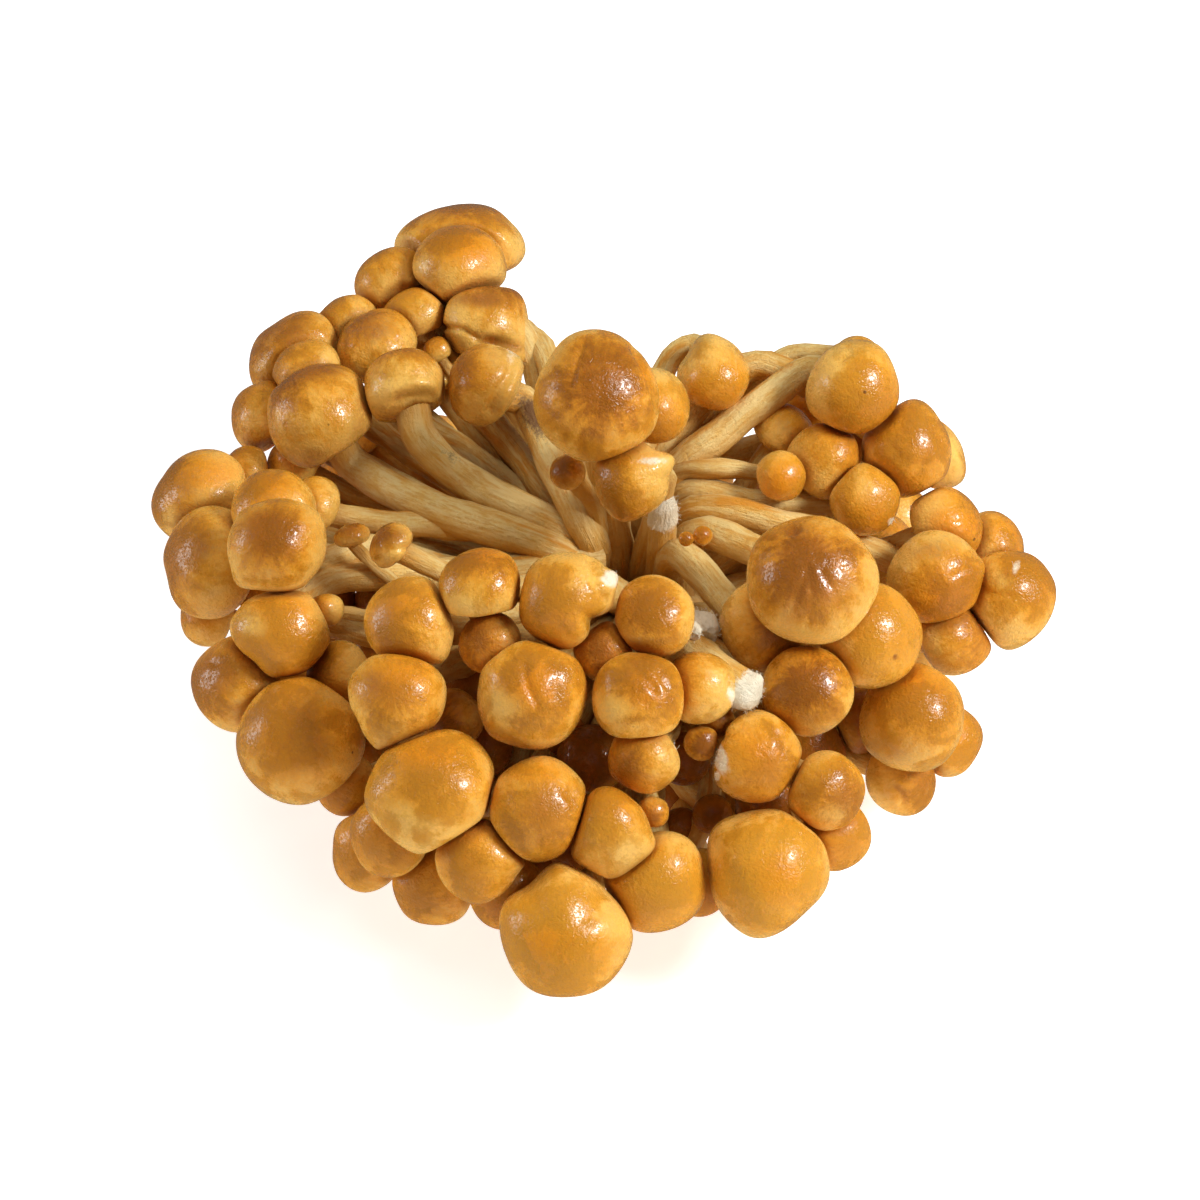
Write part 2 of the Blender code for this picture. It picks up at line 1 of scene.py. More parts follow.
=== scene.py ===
# %% [markdown]
# # A bunch of nameko mushrooms
#
# Nameko grow crowded on a block of sawdust and are cut from it as one bunch: about a hundred wet,
# amber caps on curved cream stems that part from one short butt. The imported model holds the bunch
# as plain solids. This lesson dresses it: each solid is replaced by a finer form of the same size
# at the same place, and gets its skin, its fibres and its torn places.

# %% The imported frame
import math
from collections import namedtuple

import bpy
import numpy as np
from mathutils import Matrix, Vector


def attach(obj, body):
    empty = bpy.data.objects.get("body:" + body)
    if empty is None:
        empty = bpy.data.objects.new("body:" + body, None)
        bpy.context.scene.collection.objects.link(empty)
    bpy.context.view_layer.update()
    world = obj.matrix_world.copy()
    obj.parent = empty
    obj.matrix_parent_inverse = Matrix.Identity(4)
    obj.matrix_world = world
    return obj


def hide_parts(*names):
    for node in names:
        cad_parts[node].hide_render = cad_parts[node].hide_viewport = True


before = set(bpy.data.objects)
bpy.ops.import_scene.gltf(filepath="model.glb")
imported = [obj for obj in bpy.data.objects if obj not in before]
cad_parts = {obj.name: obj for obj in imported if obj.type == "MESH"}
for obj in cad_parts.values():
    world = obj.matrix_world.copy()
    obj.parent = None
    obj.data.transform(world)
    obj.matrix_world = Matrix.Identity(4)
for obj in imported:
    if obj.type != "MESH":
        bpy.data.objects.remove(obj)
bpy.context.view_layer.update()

print("nodes in the frame:", len(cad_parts))

# %% [markdown]
# ## The line of sight
#
# The bunch was looked at from the front and above. Every place below is given as it is read along
# that line: across to the right, up, and toward the reader, in millimetres from the crown, the
# point where the stems part. The camera stands where the reader stands, so what is read at a place
# is also seen there.

# %% The reader's place and the camera
MM = 0.001
CROWN = np.array([0.0, 0.0, 32.0])
LOOK_DOWN = math.radians(45)
ACROSS = np.array([1.0, 0.0, 0.0])
UP = np.array([0.0, math.sin(LOOK_DOWN), math.cos(LOOK_DOWN)])
TOWARD = np.array([0.0, -math.cos(LOOK_DOWN), math.sin(LOOK_DOWN)])
READING_DISTANCE = 600.0
READER = CROWN - 6.3 * ACROSS - 9.0 * UP + READING_DISTANCE * TOWARD
LENS, SENSOR = 100.0, 36.0

camera = bpy.data.objects.new("camera", bpy.data.cameras.new("camera"))
camera.data.lens = LENS
camera.data.sensor_width = SENSOR
camera.location = Vector(READER) * MM
camera.rotation_euler = (LOOK_DOWN, 0, 0)
bpy.context.scene.collection.objects.link(camera)
bpy.context.scene.camera = camera
print("camera looks from", [round(x, 3) for x in camera.location])

# %% [markdown]
# ## Where every mushroom grows
#
# The caps that show were measured one by one: place, width, and where they aren't the usual ones
# height over width, lean of the top, thickness of the stem and the places that the stem goes
# through. The deep ones stand under the others and show only as something dark in the gaps. Those
# behind the crown follow a rule with a fixed seed. These are the same tables and rules as in the
# solids' source, so each fine cap lands on its solid.

# %% The caps that show
SEED = 31
USUAL_HEIGHT = 0.78
Cap = namedtuple("Cap", "across up toward width height lean stem via",
                 defaults=(USUAL_HEIGHT, None, None, ()))
Mushroom = namedtuple("Mushroom", "region centre axis width height stem via seen")

CAPS = {
    "high": [
        Cap(-30.8, 55.8, -30, 22.8, 0.58, (-0.1, 0.85, 0.25), 4.6, ((-12.5, 16, 2), (-17, 36, -12))),
        Cap(-31, 51, -17, 17, 0.8, (-0.1, 0.8, 0.5)),
        Cap(-44.5, 48.5, -25, 14.5),
        Cap(-39.7, 41, -19, 13),
        Cap(-26.5, 40.8, -6, 16.5, 0.88, (0.12, 0.95, 0.05), 4.6, ((-15, 9, 3), (-29, 28, -6))),
        Cap(-46, 37.4, -8, 15.8, 0.74, (-0.4, 0.8, 0.4)),
        Cap(-52.5, 40, -24, 13),
        Cap(-61.7, 35.4, -14, 18.6, 0.75, (-0.6, 0.6, 0.4)),
        Cap(-60, 32, -4, 13),
        Cap(-57.6, 24.6, 9, 19.6, 0.85, (-0.5, 0.75, 0.35), 6.2, ((-14, 0, 10), (-36.5, 7.5, 10))),
        Cap(-41.4, 30.3, 8, 15.6, 0.85, (-0.3, 0.9, -0.1), 6.2, ((-12, 2.5, 8), (-28.8, 11.5, 7))),
        Cap(-26.6, 29.8, 8, 14.6, 0.85, (-0.8, 0.35, 0.4), 6.0, ((-8.5, 3, 10), (-15, 16.5, 9))),
        Cap(-66.5, 23.5, -6, 14.5, 0.8),
        Cap(-35, 35.5, -9, 6),
        Cap(-62, 16, -8, 12),
    ],
    "crown": [
        Cap(-7, 28, 40, 23, 0.85, (0.05, 0.1, 1.0), 5.6),
        Cap(-12.2, 14, 24, 6.5, 0.9, (-0.5, 0.3, 0.8), 3.4),
        Cap(-0.6, 12, 32, 14.2, 0.85, (-0.65, -0.45, 0.6), 4.0),
        Cap(3.4, 25.7, 16, 13, 1.1, (0.1, -0.5, 0.9)),
        Cap(14, 31.7, 6, 13, 1.15, (0.25, -0.55, 0.8), None, ((0, 16, 2), (5.5, 33, -2))),
    ],
    "right": [
        Cap(39.2, 29.5, 14, 16.8, 0.95, (0.6, -0.35, 0.7), 5.6, ((7, 13, 4), (16, 24.5, 6))),
        Cap(40.5, 33, 2, 11.5, 0.8, (0.9, 0.4, 0.0), 5.2, ((5, 17, 0), (20, 33, -1))),
        Cap(26.3, 21.9, 0, 11.5),
        Cap(33.4, 15.8, 6, 13.5, 1.0),
        Cap(25.7, 13, 15, 9.2, 0.9, (0.5, -0.1, 0.9), None, ((6, 12, 4), (14, 14.6, 9))),
        Cap(49.3, 18.4, 8, 16.8, 1.0, (0.25, 0.2, 0.9)),
        Cap(54, 17.5, -6, 13.5),
        Cap(41.5, 8, 16, 12.8, 0.8, (0.3, -0.2, 0.9), None, ((8, 10, 5), (23.6, 9.5, 9))),
        Cap(55.5, 5, 6, 15),
        Cap(65.3, 0.5, 0, 13),
        Cap(67.8, -9, 8, 17, 0.95, (0.5, 0.45, 0.7)),
        Cap(53.4, -5, 20, 17.6, 0.85, (0.35, -0.35, 0.8), 5.0, ((9, 6.5, 7), (28.6, 4.3, 13))),
        Cap(57.5, -16, 10, 14),
    ],
    "front_right": [
        Cap(31.6, -4.4, 45, 23.8, 0.85, (-0.1, 0.35, 0.9), 5.6, ((10, 2.5, 9), (19, 1, 17))),
        Cap(23, -13, 33, 17, 0.8, None, None, ((7, -1, 12), (13.5, -6, 20))),
        Cap(43.2, -15, 35, 19.2, 0.85),
        Cap(31, -26, 36, 16.8, 0.8, (-0.1, 0.3, 0.9)),
        Cap(50.3, -31.2, 28, 18.8, 1.1, (0.2, 0.35, 0.9)),
        Cap(56.6, -35, 13, 13.4),
        Cap(48.5, -41, 19, 14.2),
        Cap(35.2, -43.3, 41, 14.6),
        Cap(37, -51, 32, 13),
        Cap(21.8, -38.3, 51, 17.3, 0.85),
        Cap(24.3, -58.4, 46, 22.8, 1.0, (0.05, -0.1, 1.0), 5.6),
        Cap(12.5, -60, 34, 12.5, 0.8, None, None, ((8, -18, 20), (13.5, -40, 28))),
        Cap(12.1, -35.5, 42, 6.8),
        Cap(15.6, -31, 37, 6.4),
    ],
    "front": [
        Cap(2.9, -60.2, 43, 19.2),
        Cap(-3.5, -50.3, 56, 15.2, 1.2, (-0.1, 0.6, 0.7)),
        Cap(4, -47, 46, 6),
        Cap(-12.4, -70, 47, 23.2, 0.9, (-0.1, -0.25, 0.95), 5.6),
        Cap(-16.5, -46.5, 61, 19.4, 0.85, (0.1, -0.1, 1.0)),
        Cap(-22.5, -61.3, 38, 14.6),
        Cap(-29.3, -55.2, 49, 15.5),
        Cap(-37.4, -43.2, 51, 23.2, 0.85, (-0.1, 0.4, 0.9)),
        Cap(-36.3, -61, 34, 15.6),
        Cap(-45.2, -51.5, 38, 15.2, 0.75),
        Cap(-48.6, -54.3, 26, 14.2),
        Cap(3, -11.2, 47, 15.2, 0.8, (-0.2, 0.25, 0.95)),
        Cap(1.6, -26.5, 59, 17.2, 0.85, (0.1, 0.25, 0.95)),
        Cap(11.4, -24, 46, 13.6, 0.95, (-0.7, 0.35, 0.6), 5.0),
        Cap(1.5, -36.8, 46, 13.2, 0.8, (-0.5, -0.3, 0.7)),
        Cap(-5, -17.5, 38, 11),
    ],
    "front_left": [
        Cap(-28.5, -6.3, 45, 15.6, 0.85, (-0.05, 0.85, 0.5)),
        Cap(-33.5, -30, 37, 11.5),
        Cap(-19.3, -25.6, 60, 20.3, 0.85, (0.05, 0.15, 1.0)),
        Cap(-26, -17.5, 40, 11.5),
        Cap(-11.8, -8.7, 51, 18.4, 0.9, (-0.45, -0.1, 0.9)),
        Cap(-41.5, -12.8, 44, 16.8),
        Cap(-43.5, -25.9, 50, 17.6, 0.85, (-0.05, 0.2, 1.0)),
        Cap(-53, -23, 27, 12.5),
    ],
    "left": [
        Cap(-60, -34.5, 35, 23, 0.9, (-0.15, 0.25, 1.0)),
        Cap(-52.5, -41.5, 27, 12),
        Cap(-72, -23.5, 20, 17.3),
        Cap(-63.9, -14.1, 35, 17.4, 0.85, (-0.2, -0.1, 0.95)),
        Cap(-54.8, -10.4, 28, 5.8, 1.1),
        Cap(-77, -2.9, 20, 20.8, 0.72, (-0.8, 0.15, 0.55)),
        Cap(-64.4, 1.6, 39, 17.8, 0.9, (-0.1, 0.25, 1.0)),
        Cap(-64.5, 8, 26, 15.5, 0.85, (-0.3, 0.6, 0.7)),
        Cap(-58.8, 8, 17, 11),
        Cap(-78.8, 9.9, 8, 18.2),
        Cap(-70, 13.5, 0, 10),
        Cap(-77, -12.5, 10, 11.5),
        Cap(-44, 1, 35, 9, 0.7, (-0.75, 0.6, 0.3), 4.0),
        Cap(-51, 2.6, 25, 6.8, 0.6, (-0.2, 0.95, 0.2)),
    ],
    # Caps deep under the others; their dark colour is painted shade in the gaps.
    "deep": [
        Cap(-48, -36, 14, 13),
        Cap(-28, -36, 26, 14),
        Cap(-8, -38, 34, 13),
        Cap(-16, -57, 28, 13),
        Cap(7, -44, 8, 12),
        Cap(31, -37, 18, 13),
        Cap(40, -29, 14, 13),
        Cap(24, -46, 26, 12),
        Cap(33, -17, 14, 14),
        Cap(-29, -26, 22, 12),
        Cap(-56, -12, 8, 13),
        Cap(-44, -9, 12, 13),
        Cap(-47, -19, 12, 11),
        Cap(41, 19, -15, 13),
    ],
}
print("caps that show:", sum(len(caps) for caps in CAPS.values()))

# %% [markdown]
# A place that is read turns into a place in space by going along the line of sight: a point nearer
# to the reader looks larger, so its real distance from the middle of the view is a little less.

# %% From what is read to what is there
STEM_SHARE = 0.34
STEM_LEAST, STEM_MOST = 2.2, 6.2
TURN_UP = 0.62


def unit(vector):
    vector = np.asarray(vector, float)
    return vector / np.linalg.norm(vector)


def at(across, up, toward):
    """The place of what is read at (across, up), as far toward the reader as it says."""
    read = CROWN + across * ACROSS + up * UP
    return read + (READER - read) * (toward / READING_DISTANCE)


def grown_axis(centre):
    """The way a cap faces if nothing bends it: out from the crown, turned up a little."""
    return unit(unit(centre - CROWN) + TURN_UP * np.array([0.0, 0.0, 1.0]))


def stem_thickness(width):
    return float(np.clip(STEM_SHARE * width, STEM_LEAST, STEM_MOST))


def listed_mushrooms():
    found = []
    for region, caps in CAPS.items():
        for cap in caps:
            centre = at(cap.across, cap.up, cap.toward)
            width = cap.width * (1 - cap.toward / READING_DISTANCE)
            if cap.lean:
                axis = unit(cap.lean[0] * ACROSS + cap.lean[1] * UP + cap.lean[2] * TOWARD)
            else:
                axis = grown_axis(centre)
            stem = cap.stem or stem_thickness(width)
            via = tuple(at(*place) for place in cap.via)
            found.append(Mushroom(region, centre, axis, width, cap.height, stem, via, region != "deep"))
    return found


# %% [markdown]
# Behind the crown the view shows nothing, but the bunch goes on there. A golden spiral over three
# shells gives evenly spread spots, and a mushroom grows on each one that has room.

# %% The mushrooms behind the crown
SHELLS = (62.0, 50.0, 43.0)
SHELL_STEP = 12.0
BEHIND = -14.0
GOLDEN_TURN = math.pi * (3 - math.sqrt(5))
SKYLINE = ((-90, 6), (-78, 14), (-66, 34), (-50, 44), (-36, 52), (-22, 38), (-14, 24), (8, 28), (34, 28),
           (48, 18), (60, 2), (72, -12))


def hidden_mushrooms(others):
    """Mushrooms behind the crown, on a golden spiral over each shell, where there is room."""
    rng = np.random.default_rng(SEED)
    found = []
    for shell in SHELLS:
        spots = int(4 * math.pi * shell**2 / SHELL_STEP**2)
        for k in range(spots):
            rise = 1 - 2 * (k + 0.5) / spots
            spin = k * GOLDEN_TURN
            level = math.sqrt(1 - rise * rise)
            reach = shell * rng.uniform(0.93, 1.05)
            width = rng.uniform(12.5, 18.0)
            from_crown = reach * np.array([level * math.cos(spin), level * math.sin(spin), rise])
            centre = CROWN + from_crown
            line = np.interp(from_crown @ ACROSS, *zip(*SKYLINE))
            behind = from_crown @ TOWARD < BEHIND and from_crown @ UP + width / 2 < line
            room = all(np.linalg.norm(centre - m.centre) > 0.44 * (width + m.width) for m in others + found)
            if behind and room and centre[2] > 0.46 * width:
                axis, stem = grown_axis(centre), stem_thickness(width)
                found.append(Mushroom("back", centre, axis, width, USUAL_HEIGHT, stem, (), False))
    return found


# %% [markdown]
# Growing caps push each other about. The rule below lets them settle: two that press too deep move
# apart, two that nearly touch close up, and none sinks into the table.

# %% Settling
PRESS, SNUG, NEARLY = 0.84, 0.90, 1.25
LEEWAY = 0.8
SETTLE_ROUNDS = 90
FLOOR_GAP = 0.45


def settled(mushrooms):
    """Moves caps that press too deep apart, and caps that nearly touch together. A cap that is seen
    keeps its place in the view: it moves toward the reader or away, and hardly sideways."""
    start = np.array([m.centre for m in mushrooms])
    centres = start.copy()
    radii = np.array([0.25 * m.width * (1 + min(m.height, 1.0)) for m in mushrooms])
    seen = np.array([m.seen for m in mushrooms])[:, None]
    reach = radii[:, None] + radii[None, :]
    sight = (READER - centres) / np.linalg.norm(READER - centres, axis=1)[:, None]
    for _ in range(SETTLE_ROUNDS):
        apart = centres[:, None, :] - centres[None, :, :]
        distance = np.linalg.norm(apart, axis=2)
        np.fill_diagonal(distance, 1e9)
        push = np.clip(PRESS * reach - distance, 0, None)
        pull = np.where(distance < NEARLY * reach, np.clip(distance - SNUG * reach, 0, None), 0)
        force = (apart / distance[:, :, None] * (push - 0.3 * pull)[:, :, None]).sum(axis=1)
        centres += 0.25 * force
        lift = np.where(seen, sight / np.maximum(sight[:, 2:3], 0.2), np.array([0, 0, 1.0]))
        centres += lift * np.clip(radii * 0.98 + FLOOR_GAP - centres[:, 2], 0, None)[:, None]
        moved = centres - start
        along = (moved * sight).sum(axis=1)[:, None] * sight
        aside = moved - along
        far = np.linalg.norm(aside, axis=1)[:, None] + 1e-9
        centres = np.where(seen, start + along + aside * np.minimum(1, LEEWAY / far), centres)
    return [m._replace(centre=c) for m, c in zip(mushrooms, centres)]


listed = listed_mushrooms()
mushrooms = settled(listed + hidden_mushrooms(listed))
print("mushrooms:", len(mushrooms))

# %% [markdown]
# ## Which caps press on each other
#
# Where two caps touch, both go flat. The flat lies between them, nearer to the smaller one, and its
# place is read off the outlines of the plain solids, so that it is the same face in both models.
# Caps that press hardest are one solid there. Here each keeps its own skin, and they share a piece.

# %% Contacts and groups
CAP_TOP = 0.80
CAP_OUTLINE = ((0.55, 0.66), (0.93, 0.22), (0.95, -0.34), (0.64, -0.62))
SMALL_CAP_OUTLINE = ((0.72, 0.50), (1.0, -0.08), (0.70, -0.58))
CAP_DIMPLE = -0.40
SMALL_CAP = 11.5
GAP, STEM_GAP = 0.32, 0.46
MOST_CAP_NODES = 59
MOST_CAPS_A_NODE = 6
LEAST_JOIN = 0.5


def outermost(m):
    """How far from its middle a cap reaches at most."""
    return m.width / 2 * max(1.0, CAP_TOP * m.height / USUAL_HEIGHT)


def reach_toward(m, direction):
    """How far a cap reaches from its middle in one direction, read off its outline."""
    rise = m.height / USUAL_HEIGHT
    outline = np.array([(0, CAP_TOP), *CAP_OUTLINE, (0, CAP_DIMPLE)]) * [0.96, rise]
    along = direction @ m.axis
    ray = np.array([math.sqrt(max(0.0, 1 - along * along)), along])
    far = 0.0
    for p, q in zip(outline[:-1], outline[1:]):
        edge = q - p
        crossing = ray[0] * edge[1] - ray[1] * edge[0]
        if abs(crossing) < 1e-9:
            continue
        distance = (p[0] * edge[1] - p[1] * edge[0]) / crossing
        place = (p[0] * ray[1] - p[1] * ray[0]) / crossing
        if distance > 0 and -1e-9 <= place <= 1 + 1e-9:
            far = max(far, distance)
    return far * m.width / 2


def contacts(mushrooms):
    """(depth, i, j) of every two caps that are near enough to press, deepest first."""
    found = []
    for i, a in enumerate(mushrooms):
        for j in range(i + 1, len(mushrooms)):
            b = mushrooms[j]
            apart = b.centre - a.centre
            distance = np.linalg.norm(apart)
            if distance < outermost(a) + outermost(b) + GAP:
                toward = apart / distance
                found.append((reach_toward(a, toward) + reach_toward(b, -toward) - distance, i, j))
    return sorted(found, reverse=True)


def grouped(mushrooms, pressed):
    """Caps that press hardest grow into one body, until there are few enough bodies."""
    group = list(range(len(mushrooms)))
    for depth, i, j in pressed:
        if len(set(group)) <= MOST_CAP_NODES:
            break
        a, b = group[i], group[j]
        together = group.count(a) + group.count(b)
        if a != b and together <= MOST_CAPS_A_NODE and depth > LEAST_JOIN:
            group = [a if g == b else g for g in group]
    return group


def contact_plane(a, b):
    """(point, normal from a to b) of the face where two caps press on each other."""
    apart = b.centre - a.centre
    distance = np.linalg.norm(apart)
    normal = apart / distance
    near, far = reach_toward(a, normal), reach_toward(b, -normal)
    return a.centre + apart * near / (near + far), normal


def node_names(mushrooms, group):
    """(name of the CAD node, the mushrooms whose caps it holds), in the order of the source."""
    numbers, found = {}, []
    for g in sorted(set(group), key=group.index):
        members = [i for i in range(len(mushrooms)) if group[i] == g]
        region = mushrooms[members[0]].region
        numbers[region] = numbers.get(region, 0) + 1
        prefix = "caps" if len(members) > 1 else "cap"
        found.append((f"{prefix}_{region}_{numbers[region]:02d}", members))
    return found


pressed = contacts(mushrooms)
cap_nodes = node_names(mushrooms, grouped(mushrooms, pressed))
print("pieces for the caps:", len(cap_nodes))

# %% [markdown]
# ## Shader helpers
#
# A material is a small tree of nodes. One helper puts a node in with its values and links. Shorter
# ones stand for what is needed all the time: arithmetic, a mix of two colours, a soft step, a noise
# and a number that the mesh carries.

# %% Putting nodes into a tree


def put(tree, kind, inputs=None, **settings):
    """Adds a node. What inputs gives is either a value or the output of another node."""
    node = tree.nodes.new(kind)
    for name, value in settings.items():
        setattr(node, name, value)
    for key, value in (inputs or {}).items():
        if isinstance(value, bpy.types.NodeSocket):
            tree.links.new(value, node.inputs[key])
        else:
            node.inputs[key].default_value = value
    return node


def worked(tree, operation, a, b=0.0, c=0.0):
    """The result of one sum, such as ADD, MULTIPLY or MULTIPLY_ADD (a times b, plus c)."""
    return put(tree, "ShaderNodeMath", {0: a, 1: b, 2: c}, operation=operation).outputs[0]


def mixed(tree, share, a, b, blend="MIX"):
    """Colour a, turning into colour b as share goes from 0 to 1."""
    node = put(tree, "ShaderNodeMix", {0: share, 6: a, 7: b}, data_type="RGBA", blend_type=blend)
    return node.outputs[2]


def step(tree, value, low, high, start=0.0, end=1.0):
    """Goes softly from start to end as value goes from low to high."""
    places = {0: value, 1: low, 2: high, 3: start, 4: end}
    return put(tree, "ShaderNodeMapRange", places, interpolation_type="SMOOTHSTEP").outputs[0]


def noise(tree, where, scale, detail, roughness=0.5, distortion=0.0):
    """An even noise between 0 and 1."""
    values = {"Vector": where, "Scale": scale, "Detail": detail, "Roughness": roughness,
              "Distortion": distortion}
    return put(tree, "ShaderNodeTexNoise", values).outputs[0]


def read(tree, name, output="Fac"):
    """What the mesh carries under a name: a number (Fac) or three of them (Vector)."""
    return put(tree, "ShaderNodeAttribute", attribute_name=name).outputs[output]


def rgba(colour):
    return (*colour, 1.0)


# %% [markdown]
# ## Two effects that skin and flesh share
#
# Living tissue is never one colour: it is blotched in soft patches, with finer grain in them. And
# its surface is never quite smooth: it is puckered by fine wrinkles that break up each reflection.
# Both are built once as node groups with named inputs and used by every finish below.

# %% Blotches and puckers


def new_group(name, inputs, outputs):
    tree = bpy.data.node_groups.new(name, "ShaderNodeTree")
    for socket, kind, value in inputs:
        made = tree.interface.new_socket(socket, in_out="INPUT", socket_type=kind)
        if value is not None:
            made.default_value = value
    for socket, kind in outputs:
        tree.interface.new_socket(socket, in_out="OUTPUT", socket_type=kind)
    return tree, tree.nodes.new("NodeGroupInput").outputs, tree.nodes.new("NodeGroupOutput").inputs


def make_blotches():
    tree, given, out = new_group(
        "blotches",
        [("Place", "NodeSocketVector", None), ("Patch Scale", "NodeSocketFloat", 260.0),
         ("Grain Scale", "NodeSocketFloat", 1900.0), ("Grain Share", "NodeSocketFloat", 0.35)],
        [("Mask", "NodeSocketFloat")],
    )
    patches = noise(tree, given["Place"], given["Patch Scale"], 2.0, 0.55, 0.4)
    grain = noise(tree, given["Place"], given["Grain Scale"], 2.0, 0.65)
    soft = step(tree, patches, 0.32, 0.68)
    fine = step(tree, grain, 0.28, 0.72)
    share = given["Grain Share"]
    rest = worked(tree, "SUBTRACT", 1.0, share)
    both = worked(tree, "MULTIPLY_ADD", soft, rest, worked(tree, "MULTIPLY", fine, share))
    tree.links.new(both, out["Mask"])
    return tree


def make_puckers():
    tree, given, out = new_group(
        "puckers",
        [("Place", "NodeSocketVector", None), ("Wrinkle Scale", "NodeSocketFloat", 900.0),
         ("Grain Scale", "NodeSocketFloat", 3600.0), ("Grain Share", "NodeSocketFloat", 0.3)],
        [("Height", "NodeSocketFloat")],
    )
    wrinkles = noise(tree, given["Place"], given["Wrinkle Scale"], 1.0, 0.5, 0.9)
    grain = noise(tree, given["Place"], given["Grain Scale"], 1.0, 0.6)
    weak = worked(tree, "MULTIPLY", grain, given["Grain Share"])
    tree.links.new(worked(tree, "ADD", wrinkles, weak), out["Height"])
    return tree


blotches = make_blotches()
puckers = make_puckers()
print("effect groups:", blotches.name, puckers.name)

# %% [markdown]
# ## The skin of the caps
#
# A cap is amber under a film of slime. Its top is the deepest colour, orange to toasted brown, and
# toward the margin it turns to honey and then to a pale tan, where the skin is thinnest. Faint
# streaks run down from the top, and a few dark flecks lie anywhere. The mesh tells the material how
# far each point is from the top (polar), where it is round the cap (spoke), how dark and how yellow
# this one cap is (tone, yellow), and how much of each spot it has.

# %% Cap skin
TOASTED = (0.33, 0.105, 0.008)
AMBER = (0.65, 0.230, 0.013)
HONEY = (0.80, 0.355, 0.028)
ORANGE = (0.74, 0.245, 0.005)
MARGIN_TAN = (0.88, 0.52, 0.115)
VEIL_TAN = (0.60, 0.29, 0.050)
BRUISE = (0.36, 0.125, 0.024)
TORN_WHITE = (0.95, 0.85, 0.64)
FLECK = (0.08, 0.025, 0.006)
# The tint for skin close to a neighbouring cap is painted shade between the caps.
SPOT_TINTS = (("pale", MARGIN_TAN, 1.0), ("orange", ORANGE, 0.7), ("bruise", BRUISE, 1.0),
              ("toast", TOASTED, 1.0), ("crease_shade", TOASTED, 0.5))
# Where each colour begins and is full, as a share of the way from the top of a cap to its middle below.
TOP, HONEY_BAND, TAN_BAND, VEIL_BAND = (0.04, 0.40), (0.17, 0.44), (0.31, 0.58), (0.68, 0.80)
FLECK_SIZE, FLECK_EDGE = 0.035, 0.06
DRY_GLOSS, WET_GLOSS = 0.33, 0.22
BUMP = 0.8
SKIN_RELIEF, FLESH_RELIEF = 0.00021, 0.00028
WATERY = 1.36
SKIN_VALUES = {"Coat Roughness": 0.17, "Subsurface Weight": 0.22, "Subsurface Radius": (1.0, 0.42, 0.12),
               "Subsurface Scale": 0.0022, "IOR": WATERY}


def new_material(name):
    material = bpy.data.materials.new(name)
    material.use_nodes = True
    tree = material.node_tree
    shader = tree.nodes["Principled BSDF"]
    shader.subsurface_method = "BURLEY"
    return material, tree, shader.inputs


def placed(tree, group, inputs):
    """A group in a material, with this material's own values."""
    return put(tree, "ShaderNodeGroup", inputs, node_tree=group).outputs


def roughened(tree, shader, height, distance):
    """Lets a height of 0 to 1 stand for a relief so many metres deep."""
    bump = put(tree, "ShaderNodeBump", {"Strength": BUMP, "Distance": distance, "Height": height})
    tree.links.new(bump.outputs[0], shader["Normal"])


def broken(tree, mask, blotch, low=0.25, high=0.75):
    """A soft spot with an edge that the blotches break up."""
    return step(tree, worked(tree, "MULTIPLY_ADD", blotch, 0.5, mask), low, high)


def flecks(tree, place):
    """A few small round specks: one cell in five of a scatter of cells has one."""
    cells = put(tree, "ShaderNodeTexVoronoi", {"Vector": place, "Scale": 150.0}).outputs
    draw = put(tree, "ShaderNodeSeparateColor", {0: cells["Color"]}).outputs[0]
    speck = step(tree, cells["Distance"], FLECK_SIZE, FLECK_EDGE, 0.75, 0.0)
    return worked(tree, "MULTIPLY", step(tree, draw, 0.80, 0.82), speck)


